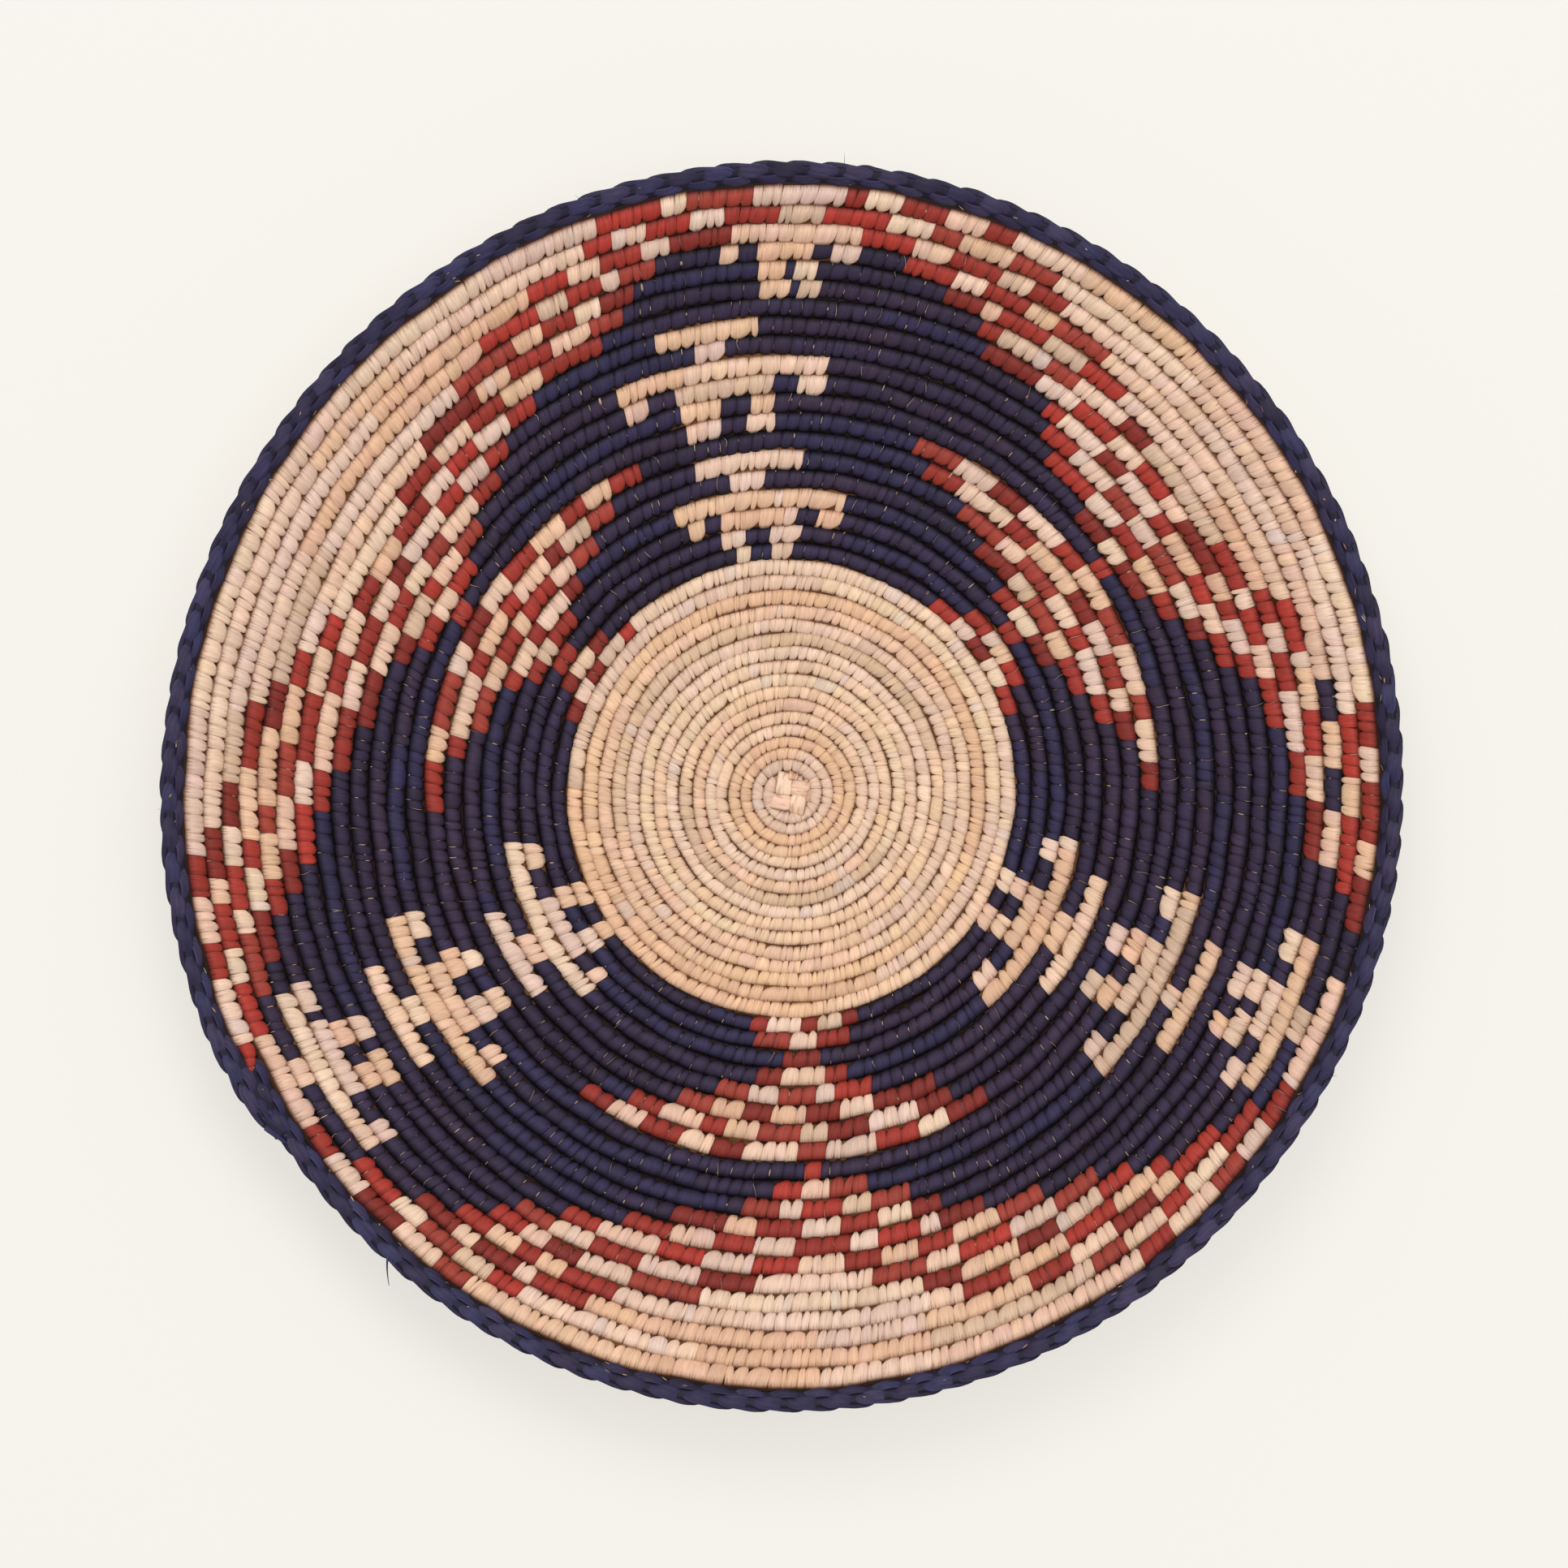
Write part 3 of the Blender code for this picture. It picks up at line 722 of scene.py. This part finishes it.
def tail_offset(turn):
    """The tail's tip leaves the row inside it and lies up against the plait."""
    past = (travel_of(turn) - cord_length + tail_turn_away) / tail_taper
    return np.clip(past, 0, 1) ** tail_away_power


def wobble(turn, phases):
    """How far a hand-sewn row strays from its even spiral."""
    travel = travel_of(turn)
    away = sum(size * np.sin(travel / wave * math.tau + phase)
               for (wave, size), phase in zip(wobble_waves, phases))
    return (away * np.clip(turn / wobble_from_turns, 0, 1))[..., None]


def cord_surface(turn, outward_share, forward_share):
    """A point on or off the cord, in cord radii from its middle."""
    middle, outward, front, radius_in, radius_out, _ = route(turn)
    middle = middle + outward * wobble(turn, wobble_phases[0]) + front * wobble(turn, wobble_phases[1])
    share = tail_share(turn)
    deep = (radius_in + radius_out) / 2
    across = np.where(outward_share < 0, radius_in, radius_out) * share
    hug = deep * (1 - share) * (2 * tail_offset(turn) - 1)
    point = (middle + outward * (outward_share * across + hug)[..., None]
             + front * (forward_share * (deep * share))[..., None])
    point[..., 2] = np.maximum(point[..., 2], lowest_leaf)
    return point


# %% Where the pieces part, and chances for each band
half_way = centre_turns + 13
quarter_way = centre_turns + 7
centre_half_way = 11
past_end = coil_turns + 1
centre_notch = 0.5
leaves = {"N": natural_leaf, "R": red_leaf, "B": indigo_leaf}


def between(limits, count, depth=1):
    """A number between the limits for each band."""
    return chance.uniform(*limits, (count,) + (1,) * depth)


def varied(spread, count, depth=1, middle=1.0):
    """A number near the middle for each band."""
    return chance.normal(middle, spread, (count,) + (1,) * depth)


# %% Rings of the stitches
def stitch_rings(chosen, letter, notch):
    """Rings of the chosen stitches, with fibre map, painted crease shade and splits."""
    count = len(chosen)
    start, end, middle_turn = (values[chosen][:, None, None]
                               for values in (stitch_starts, stitch_ends, stitch_middles))
    outward, forward, behind, ahead, *lit_shares_by_colour, split = ring_profile.T
    reach = tooth_reach[letter] + between(tooth_reach_range, count, 2)
    reach += knot_hug * np.clip(knot_hug_turns - middle_turn, 0, 1)
    tooth = np.clip(-(outward + tooth_from) / tooth_over, 0, 1) * (np.abs(forward) > tooth_off_middle)
    cut_behind, cut_ahead = (between(limits, count, 2) * notch
                             for limits in (cut_behind_range, cut_ahead_range))
    behind = np.minimum(behind * cut_behind, most_cut_behind)
    ahead = np.minimum(ahead * cut_ahead, most_cut - behind)
    along = behind + band_rings * (1 - behind - ahead)
    along = along * (1 + 2 * stitch_overlap) - stitch_overlap
    sway = -outward * route(middle_turn)[3] * lean * varied(lean_spread, count, 2)
    size = varied(size_spread, count, 2)
    crown = (1 - (2 * band_rings - 1) ** 2) * pillow * between(pillow_range, count, 2)
    sink = edge_sink * size + crown
    points = cord_surface(turn_of(start + along * (end - start) + sway),
                          outward * sink - tooth * reach, forward * sink)
    sides = np.hypot(*(np.diff(part, append=part[0]) for part in (outward, forward)))
    fibre_map = leaf_map(count, band_rings * (end - start) / mm,
                         running_sum(sides) * leaf_round_cord)
    soft = edge_softness[letter]
    # Painted shade darkens both sides of each band, where the stitches meet.
    edge_shade = between(edge_depth_range, count, 2) * np.array([1, soft, 0, 0, soft, 1])[:, None]
    return points, fibre_map, lit_shares_by_colour["NRB".index(letter)] * (1 - edge_shade), split


# %% Make the stitches
def make_stitches(name, letter, first_turn, last_turn, notch=1.0):
    chosen = np.flatnonzero((stitch_letters == letter) & (stitch_middles >= first_turn)
                            & (stitch_middles < last_turn))
    points, fibre_map, seen, split = stitch_rings(chosen, letter, notch)
    return ring_mesh(name, points, fibre_map, stitch_shades[chosen], leaves[letter], seen, split)


inner_centre = make_stitches("inner_centre_stitches", "N", 0, centre_half_way, centre_notch)
make_stitches("outer_centre_stitches", "N", centre_half_way, centre_turns, centre_notch)
make_stitches("inner_natural_stitches", "N", centre_turns, half_way)
make_stitches("outer_natural_stitches", "N", half_way, past_end)
make_stitches("red_stitches", "R", centre_turns, past_end)
inner_indigo = make_stitches("inner_indigo_stitches", "B", centre_turns, quarter_way)
make_stitches("middle_indigo_stitches", "B", quarter_way, half_way)
make_stitches("outer_indigo_stitches", "B", half_way, past_end)
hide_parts("centre_coil")
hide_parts("field_coil")


# %% [markdown]
# ## Grass inside
# The cord itself is a bundle of dry grass. It shows only between stitches, as dark
# tan at the bottom of the gaps. A tube that is flatter than the stitches, and wide
# enough to touch the next turn's, is enough. One helper sweeps such a tube along
# any line: it takes the line's points, a direction that the flat side looks in, and
# half widths. It picks a shade for each band too, and makes the piece.

# %% Sweep bands along lines
strand_ridges = 7


def ring_angles(around):
    return np.arange(around) / around * math.tau


def sweep(name, lines, facing, half_width, half_depth, kinds, material, around=6, unshaded_share=1.0,
          spread=0.0, boxy=0.0, ripple=0.0, lowest=-math.inf):
    """A ring round each point of each line. lines is (bands, points, 3). A flat
    band's wide side looks along facing. kinds is one colour, one a band, or several
    to choose from, and spread is how much their lightness varies. boxy moves the
    ring towards a rectangle, and ripple gives it ridges, as a bundle of strips has."""
    bands = len(lines)
    ahead = unit(np.gradient(lines, axis=1))
    across = unit(np.cross(facing, ahead))
    up = np.cross(ahead, across)
    angle = ring_angles(around)
    fuller = 1 + boxy * np.abs(np.sin(2 * angle)) + ripple * np.cos(strand_ridges * angle)
    half_width, half_depth = (np.broadcast_to(half, lines.shape[:2])[..., None]
                              for half in (half_width, half_depth))
    points = (lines[:, :, None]
              + across[:, :, None] * (half_width * np.cos(angle) * fuller)[..., None]
              + up[:, :, None] * (half_depth * np.sin(angle) * fuller)[..., None])
    points[..., 2] = np.maximum(points[..., 2], lowest)
    along = running_sum(np.linalg.norm(np.diff(lines, axis=1), axis=-1))[..., None]
    from_edge = np.abs(np.arange(around + 1) / around * 2 - 1)
    fibre_map = leaf_map(bands, from_edge * 2 * half_width.max(axis=1, keepdims=True) / mm,
                         along / mm)
    shades = np.atleast_2d(kinds)
    if len(shades) not in (1, bands):
        shades = shades[chance.integers(len(shades), size=bands)]
    if spread:
        shades = shades * varied(spread, bands)
    return ring_mesh(name, points, fibre_map, shades, material, unshaded_share)


# %% Grass core
core_width_share, core_depth_share = 1.28, 0.55
# How much lit colour the grass keeps in natural, red and indigo runs. The rest is painted shade down in the
# gaps. On the last turn, beside the plait, it is shaded more.
core_seen_share = {"N": 0.55, "R": 0.12, "B": 0.03}
hidden_last_turns, hiding_steepness, most_hidden = 1.1, 8, 0.93
tail_piece_turns = 0.02

centre_points, field_points, tail_points = 960, 2300, 24
core_turn = np.concatenate([
    np.linspace(0, centre_turns, centre_points, endpoint=False),
    np.linspace(centre_turns, coil_turns - tail_piece_turns, field_points, endpoint=False),
    np.linspace(coil_turns - tail_piece_turns, cord_end, tail_points)])
core_front, core_in, core_out = route(core_turn)[2:5]
core_radius = np.minimum(core_in, core_out) * tail_share(core_turn)
run_starts = [start for start, _, _ in colour_runs]
runs_at_core = np.searchsorted(run_starts, core_turn, side="right") - 1
core_lit = np.array([core_seen_share[colour_runs[run][2]] for run in runs_at_core])
core_lit *= 1 - most_hidden * np.clip((core_turn - coil_turns + hidden_last_turns) * hiding_steepness, 0, 1)
sweep("grass_core", cord_surface(core_turn, 0.0, 0.0)[None], core_front, core_radius * core_width_share,
      core_radius * core_depth_share, srgb((168, 108, 62)), core_grass, around=12,
      unshaded_share=core_lit[:, None], lowest=0.1 * mm)

# %% [markdown]
# ## Tan flecks and loose fibres
# Where two dark stitches part a little, the dry grass shows between them as a tan
# line across the row. Split leaf also sheds fine fibres, which lie over the rows as
# pale hairs. Both are swept slivers that taper at their ends.

# %% Slivers on the cord
typical_radius = 2.9 * mm
inside_cord = 0.5
fleck_odds = {"N": 0.0, "R": 0.2, "B": 0.64}
front_fleck_share, wide_fleck_share, wide_fleck = 0.7, 0.05, 2.5


def tapered(count, ends=0.25):
    """Widths along a sliver: full in the middle, less at both ends."""
    share = np.linspace(-1, 1, count)
    return ends + (1 - ends) * (1 - share ** 2)


def round_cord(turn, angle, clear):
    """Lines round the cord, so many cord radii from its middle, and the way they face."""
    outward, forward = np.cos(angle), np.sin(angle)
    line = cord_surface(turn, outward * clear, forward * clear)
    return line, line - cord_surface(turn, outward * inside_cord, forward * inside_cord)


def make_flecks():
    steps = 5
    odds = np.array([fleck_odds[letter] for letter in stitch_letters[1:]])
    same = stitch_letters[1:] == stitch_letters[:-1]
    chosen = np.flatnonzero(same & (chance.random(len(odds)) < odds))
    count = len(chosen)
    in_front = chance.random((count, 1)) < front_fleck_share
    low = np.radians(np.where(in_front, between((24, 84), count), between((84, 128), count)))
    angle = low + np.radians(between((6, 52), count)) * np.linspace(0, 1, steps)
    drift = -np.cos(angle) * lean * typical_radius + varied(0.06 * mm, count, middle=0.0)
    half_width = between((0.07, 0.22), count)
    wide = chance.random((count, 1)) < wide_fleck_share
    half_width = half_width * np.where(wide, wide_fleck, 1.0) * mm * tapered(steps, 0.5)
    line, facing = round_cord(turn_of(stitch_ends[chosen][:, None] + drift), angle, 0.98)
    kinds = srgb([(170, 146, 116), (144, 122, 102), (116, 99, 88), (188, 164, 132)])
    sweep("grass_flecks", line, facing, half_width, 0.1 * mm * tapered(steps), kinds, core_grass)


def make_hairs():
    """Loose fibres over the dark rows."""
    count, steps = 330, 7
    chosen = chance.choice(np.flatnonzero(stitch_letters != "N"), count, replace=False)
    share = np.linspace(-0.5, 0.5, steps)
    angle = np.radians(between((35, 120), count))
    turned = between((-0.35, 0.35), count)
    reach = between((1.5, 6.0), count) * mm * share
    bend = varied(0.4, count, middle=0.0) * reach * share
    angle = angle + reach * np.sqrt(1 - turned ** 2) / typical_radius
    turn = turn_of(stitch_ends[chosen][:, None] + reach * turned + bend)
    line, facing = round_cord(turn, angle, 1.02 + 0.03 * tapered(steps, 0.0))
    thick = between((0.035, 0.085), count) * mm * tapered(steps, 0.4)
    kinds = srgb([(198, 176, 156), (150, 132, 140), (186, 150, 128), (112, 98, 118)])
    sweep("loose_fibres", line, facing, thick, thick, kinds, natural_leaf, around=4)


make_flecks()
make_hairs()

# %% [markdown]
# ## The plait
# Three strands of dyed leaf cross over and under each other along the rim. A strand
# sways across the plait once a cycle and dips under the others twice, so what can be
# seen of it is a row of long lobes, one to the rim's outer side and one to its inner
# side by turns. Each lobe is a band of its own here, whose ends lie hidden where the
# strand dips: so each can have its own width and shade, as real bundles of leaf do.
# The plait carries on from the cord's end, goes once round, and overlaps its own
# beginning, where its ends fray.

# %% Sizes and route of the plait
plait_strands = 3
plait_cycles_per_turn = 37
plait_width = 6.8 * mm
plait_overlap_angle = math.radians(9)
plait_start = coil_turns + 1.2 * mm / rim_turn_length
plait_end = plait_start + 1 + plait_overlap_angle / math.tau
strand_sway = 2.0 * mm
strand_lift = 0.95 * mm
strand_half_width = 2.35 * mm
strand_half_depth = 0.5 * mm
sway_flatness = 3.4
step_out_length, step_out_delay = 11 * mm, 2 * mm
overlap_share, overlap_lift = 0.78, 0.5 * mm
thin_start, thin_start_length = 0.5, 9 * mm
thin_end, thin_end_length = 0.4, 20 * mm


def smooth_step(value):
    share = np.clip(value, 0, 1)
    return share * share * (3 - 2 * share)


def outer_step(turn):
    """0 where the plait lies on the cord, 1 where it lies on its own beginning."""
    past = (turn - 1 - coil_turns) * rim_turn_length - step_out_delay
    return smooth_step(past / step_out_length + 0.5)


def plait_line(turn, aside=0.0, high=0.0):
    """Points so far outward and forward of the plait's middle, with its outward and
    front vectors. Past a full round it steps out and lies beside its own beginning."""
    reach = piece_gap + plait_width / 2
    middle, outward, front, _, _, solid = route(turn - 1)
    beside_cord = middle + outward * (solid + reach)[..., None]
    before, out_before, _, _, _, solid_before = route(turn - 2)
    away = solid_before + piece_gap + plait_width * overlap_share + reach
    beside_itself = before + out_before * away[..., None] + front * overlap_lift
    step = outer_step(turn)[..., None]
    line = beside_cord * (1 - step) + beside_itself * step
    line = line + outward * np.asarray(aside)[..., None] + front * np.asarray(high)[..., None]
    return line, outward, front


def plait_fullness(turn):
    """The plait is thin where it begins and where it ends."""
    begun = smooth_step((turn - plait_start) * rim_turn_length / thin_start_length)
    left = smooth_step((plait_end - turn) * rim_turn_length / thin_end_length)
    return (thin_start + (1 - thin_start) * begun) * (thin_end + (1 - thin_end) * left)


# %% Lobes of the plait
lobe_start, lobe_length, lobe_points = math.radians(-66), math.radians(218), 25
lobes_past_end = 4 * mm / rim_turn_length
strand_ring_points = 28
strand_kinds = srgb([(48, 43, 74), (53, 50, 84), (45, 39, 65), (58, 51, 80)])


def plait_lobes(strand):
    """Phases of the strand's lobes, which start and end where it dips under."""
    cycles = (plait_end - plait_start) * plait_cycles_per_turn
    half_cycles = np.arange(0, math.ceil(2 * (cycles + 1)) + 1)
    starts = math.pi * half_cycles + lobe_start
    phases = starts[:, None] + lobe_length * np.linspace(0, 1, lobe_points)
    turns = plait_start + (phases / math.tau - strand / plait_strands) / plait_cycles_per_turn
    inside = (turns[:, 0] > plait_start - lobes_past_end) & (turns[:, -1] < plait_end + lobes_past_end)
    return phases[inside], turns[inside]


def make_strand(strand):
    phases, turns = plait_lobes(strand)
    count = len(turns)
    full = plait_fullness(turns)
    side, depth = np.sin(phases), np.sin(2 * phases)
    sway = strand_sway * varied(0.025, count) * full
    lift = strand_lift * varied(0.08, count) * full
    swayed = np.tanh(sway_flatness * side) / math.tanh(sway_flatness)
    line, outward, front = plait_line(turns, sway * swayed - 0.5 * mm, lift * depth)
    full = full * (1 - 0.16 * np.linspace(-1, 1, lobe_points) ** 6)
    half_width = strand_half_width * varied(0.035, count) * full
    half_depth = strand_half_depth * varied(0.1, count) * full
    ridges = 0.9 + 0.1 * np.cos(strand_ridges * ring_angles(strand_ring_points))
    # Painted shade: a lobe darkens where it dips under the others, less so on the plait's outer side, and a
    # little in the grooves between its ridges.
    outer_side = 0.07 + 0.62 * np.clip(side + 0.3, 0, 1)
    unshaded_share = np.clip(0.78 + 0.95 * depth, outer_side, 1)[..., None] * ridges
    strand_piece = sweep(f"rim_plait_{strand + 1}", line, front + outward * (0.35 * side)[..., None],
                         half_width, half_depth, strand_kinds, plait_leaf, strand_ring_points,
                         unshaded_share, spread=0.09, ripple=0.035)
    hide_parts(f"rim_plait_strand_{strand + 1}")


for strand in range(plait_strands):
    make_strand(strand)

# %% Dark inside of the plait, in painted shade
lining_lead, lining_points = 7 * mm / rim_turn_length, 1500
lining_turns = np.linspace(plait_start - lining_lead, plait_end, lining_points)
lining_full, lining_step = plait_fullness(lining_turns), outer_step(lining_turns)
lining_line, _, lining_front = plait_line(lining_turns, -(0.6 + 2.0 * lining_step) * mm)
lining_half_width = (3.3 * lining_full + 1.4 * lining_step) * mm
lining_half_depth = 0.7 * mm * lining_full
# The band fills the gap between the last row and the plait. It sits three quarters of the way to its painted
# crease shade.
sweep("plait_lining", lining_line[None], lining_front, lining_half_width, lining_half_depth,
      srgb((40, 38, 62)), plait_leaf, around=8, unshaded_share=0.25)


# %% Frayed ends, whiskers and lashing
def make_fray():
    """Ends of the strands, loose leaf strips past the plait's end."""
    count = 22
    share = np.linspace(0, 1, 8)
    start = plait_end - between((5, 14), count) * mm / rim_turn_length
    length = between((8, 16), count) * mm / rim_turn_length
    aside = between((-3.0, 1.3), count) * (1 - 0.6 * share) - 3.2 * share
    high = between((-0.8, 0.9), count) - share
    line, outward, front = plait_line(start + length * share, aside * mm, high * mm)
    facing = front + outward * varied(0.3, count, 2, middle=0.0)
    half_width = between((0.5, 1.25), count) * mm * (1 - 0.6 * share ** 2)
    sweep("frayed_ends", line, facing, half_width, 0.16 * mm, srgb((48, 46, 80)), plait_leaf,
          spread=0.15)


def make_whiskers():
    """Long dyed fibres that stand off the rim: their place in degrees clockwise from
    the top, length in millimetres, lean and half width in millimetres."""
    clock, length, leaning, wide = np.array([
        (5.3, 6.4, 0.05, 0.13), (220.7, 8.5, 0.8, 0.48), (118.0, 4.0, 0.6, 0.13),
        (268.0, 3.6, -0.4, 0.13), (341.0, 3.8, 0.5, 0.13)]).T[:, :, None]
    share = np.linspace(0, 1, 8)
    turn = coil_turns + ((field_start_degrees - clock) / 360 + centre_turns - coil_turns) % 1
    line, outward, front = plait_line(turn, (1.5 + length * share) * mm,
                                      (0.9 - 0.8 * share ** 2) * mm)
    along = unit(np.cross(front, outward))
    line = line + along * ((length * leaning * share ** 1.5) * mm)[..., None]
    sweep("rim_whiskers", line, front, wide * mm * (1 - 0.8 * share), 0.13 * mm,
          srgb((64, 58, 84)), plait_leaf)


def make_lashing():
    """Undyed strip that shows here and there between the plait's lobes."""
    count, steps = 110, 5
    turn = plait_start + chance.random((count, 1))
    inner = chance.random((count, 1)) < 0.55
    aside = np.where(inner, between((-3.5, -2.7), count), between((-1.5, 1.8), count))
    reach = between((0.7, 2.4), count) * np.linspace(-0.5, 0.5, steps)
    aside = aside + reach * between((-0.5, 0.9), count)
    high = np.where(inner, 0.9, between((1.0, 1.75), count))
    line, _, front = plait_line(turn + reach * mm / rim_turn_length, aside * mm,
                                high * mm)
    half_width = between((0.1, 0.27), count) * mm * tapered(steps)
    kinds = srgb([(206, 176, 136), (176, 140, 112), (140, 112, 96)])
    sweep("plait_lashing", line, front, half_width, 0.1 * mm, kinds, natural_leaf)


make_fray()
make_whiskers()
make_lashing()

# %% [markdown]
# ## The start knot
# The basket begins as a little knot of leaf, folded so that four flaps lie round its
# middle like a pinwheel, each with one edge over the next. The first turn of the cord
# is sewn round it. Four short wide bands make the flaps: each starts beside the
# middle, arches and dips under the first row. A pad of leaf fills the place below.

# %% Start knot
knot_turned = math.radians(-12)
flap_length = 6.0 * mm
flap_half_width = 2.6 * mm
flap_height = 3.3 * mm
flap_lengths = np.array([0.92, 1.14, 1.04, 0.96])[:, None]
flap_widths = np.array([1, 1.04, 0.96, 1.0])[:, None]
flap_kinds = srgb([(246, 206, 178), (248, 214, 186), (244, 202, 176), (250, 212, 182)])
knot_ring_points = 16
pad_reach = 7.9 * mm
pad_middle = np.array([-0.41, 0.44, 1.2]) * mm
pad_half_depth = 1.15 * mm


def make_knot():
    share = np.linspace(0, 1, 10)
    quarter = np.arange(4)[:, None] * math.pi / 2 + knot_turned
    ahead = np.stack([np.cos(quarter), np.sin(quarter), 0 * quarter], axis=-1)
    aside = np.stack([-np.sin(quarter), np.cos(quarter), 0 * quarter], axis=-1)
    along = -0.35 * mm + flap_length * share * flap_lengths
    sideways = flap_half_width * (0.98 + 0.06 * share)
    high = flap_height + 0.45 * mm * np.sin(math.pi * share) - 1.3 * mm * share ** 3
    line = ahead * along[..., None] + aside * sideways[:, None] + towards_viewer * high[:, None]
    facing = towards_viewer - aside * 0.2 + ahead * 0.05
    half_width = flap_half_width * flap_widths * np.minimum(1, 0.82 + share)
    # Painted shade along both long edges of each flap, where it meets the next.
    edge = np.abs(np.cos(ring_angles(knot_ring_points))) ** 6
    flaps = sweep("start_knot_flaps", line, facing, half_width, 0.42 * mm, flap_kinds,
                  natural_leaf, knot_ring_points, unshaded_share=1 - 0.55 * edge, boxy=0.22)
    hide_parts("start_knot")


def make_knot_pad():
    """Leaf under the flaps, a round cushion from the wall up."""
    angle = np.linspace(0.06, math.pi - 0.06, 15)
    line = pad_middle - np.stack([pad_reach * np.cos(angle), 0 * angle, 0 * angle], axis=-1)
    # The pad lies under the flaps: it is a quarter of the way to its painted crease shade.
    sweep("start_knot_pad", line[None], towards_viewer, pad_reach * np.sin(angle), pad_half_depth,
          srgb((232, 192, 162)), natural_leaf, knot_ring_points, unshaded_share=0.75)


def make_knot_fray():
    """Ends of the knot's leaf, split and curled up beside the largest flap."""
    count = 9
    share = np.linspace(0, 1, 7)
    start = np.linspace(-0.6, 4.6, count)[:, None]
    lean_right = between((-0.2, 0.75), count)
    reach = between((1.6, 3.2), count) * share
    high = 3.3 + 0.9 * np.sin(math.pi * share)
    line = np.stack(np.broadcast_arrays(start + reach * lean_right, 5.0 - 0.32 * start + reach, high), -1)
    facing = towards_viewer + np.array([1.0, 0.0, 0.0]) * varied(0.4, count, 2, middle=0.0)
    half_width = between((0.25, 0.6), count) * mm * (1 - 0.5 * share)
    # Towards their tips the frayed ends go over to painted shade.
    sweep("start_knot_fray", line * mm, facing, half_width, 0.12 * mm,
          srgb((240, 198, 168)), natural_leaf, around=8, unshaded_share=(1 - 0.6 * share ** 3)[:, None],
          spread=0.08)


make_knot()
make_knot_pad()
make_knot_fray()

# %% [markdown]
# ## Stage, light and what a picture needs
# The basket hangs on a pale wall in soft light from above and in front. The wall is
# seen only from its front, fades out at its edge and throws no shadow, so that the
# basket's back can be looked at too. Its paleness is its own colour. The lamps stay
# at a plain level.

# %% Stage
wall_gap = 0.6 * mm
half_side = 0.9
floor_height = -0.42
pale = srgb((246, 244, 237))
lit_share = 0.26
square = [(-half_side, -half_side), (half_side, -half_side), (half_side, half_side),
          (-half_side, half_side)]


def make_pale_paint(name, fade_from, fade_to):
    """Pale paint that fades out. Part of its paleness is lit and takes the shadow."""
    paint = Paint(bpy.data.materials.new(name))
    place = paint.add("ShaderNodeTexCoord", output=3)
    distance = paint.add("ShaderNodeVectorMath", {"operation": "LENGTH"}, {0: place}, output=1)
    fade = paint.add("ShaderNodeMapRange", {"interpolation_type": "SMOOTHSTEP"},
                     {"Value": distance, "From Min": fade_from, "From Max": fade_to,
                      "To Min": 1.0, "To Max": 0.0})
    behind = paint.add("ShaderNodeNewGeometry", output=6)
    shown = fade * (1 - behind)
    clear = paint.add("ShaderNodeBsdfTransparent")
    shader = paint.nodes["Principled BSDF"]
    paint.join(shader, {
        "Base Color": (*(pale * lit_share), 1), "Roughness": 1.0, "Specular IOR Level": 0.0,
        "Emission Color": (*(pale * (1 - lit_share)), 1), "Emission Strength": 1.0})
    mixed = paint.add("ShaderNodeMixShader", {}, {0: shown, 1: clear, 2: Wire(paint, shader.outputs[0])})
    paint.join(paint.nodes["Material Output"], {0: mixed})
    return paint.owner


def make_plane(name, corners, fade_from, fade_to):
    mesh = bpy.data.meshes.new(name)
    mesh.from_pydata(corners, [], [(0, 1, 2, 3)])
    mesh.materials.append(make_pale_paint(name + "_paint", fade_from, fade_to))
    plane = add_object(name, mesh)
    plane.visible_diffuse = plane.visible_glossy = False
    plane.visible_transmission = plane.visible_shadow = False


make_plane("wall", [(x, wall_gap, z) for x, z in square], 0.36, 0.6)
make_plane("floor", [(x, y, floor_height) for x, y in square], 0.5, 0.85)


# %% Light
def add_lamp(name, place, size, power):
    """A round lamp that looks at the basket's middle."""
    lamp = bpy.data.lights.new(name, "AREA")
    lamp.shape = "DISK"
    lamp.size = size
    lamp.energy = power
    holder = add_object(name, lamp)
    holder.location = x, y, z = place
    holder.rotation_euler = (math.atan2(math.hypot(x, y), z), 0, math.atan2(x, -y))
    holder.visible_camera = False


add_lamp("key_lamp", (-0.25, -2.4, 1.4), 1.4, 29.5)
add_lamp("front_lamp", (0.5, -2.6, 0.4), 1.6, 18.5)
add_lamp("back_lamp", (-0.6, 2.2, 1.4), 1.6, 26)

scene.world = bpy.data.worlds.new("world")
room = Paint(scene.world)
room_light = room.nodes["Background"]
room.join(room_light, {"Color": (1.0, 0.985, 0.96, 1), "Strength": 0.49})
backdrop = room.add("ShaderNodeBackground", {}, {"Color": (*srgb((246, 244, 236)), 1)})
rays = room.nodes.new("ShaderNodeLightPath").outputs
seen, mirrored, through = (Wire(room, rays[kind])
                           for kind in ("Is Camera Ray", "Is Glossy Ray", "Is Transmission Ray"))
shown = room.math("MAXIMUM", seen, room.math("MAXIMUM", mirrored, through))
mixed = room.add("ShaderNodeMixShader", {}, {0: shown, 1: Wire(room, room_light.outputs[0]), 2: backdrop})
room.join(room.nodes["World Output"], {0: mixed})

scene.view_settings.view_transform = "Standard"
print("lamps:", ", ".join(sorted(lamp.name for lamp in bpy.data.lights)))
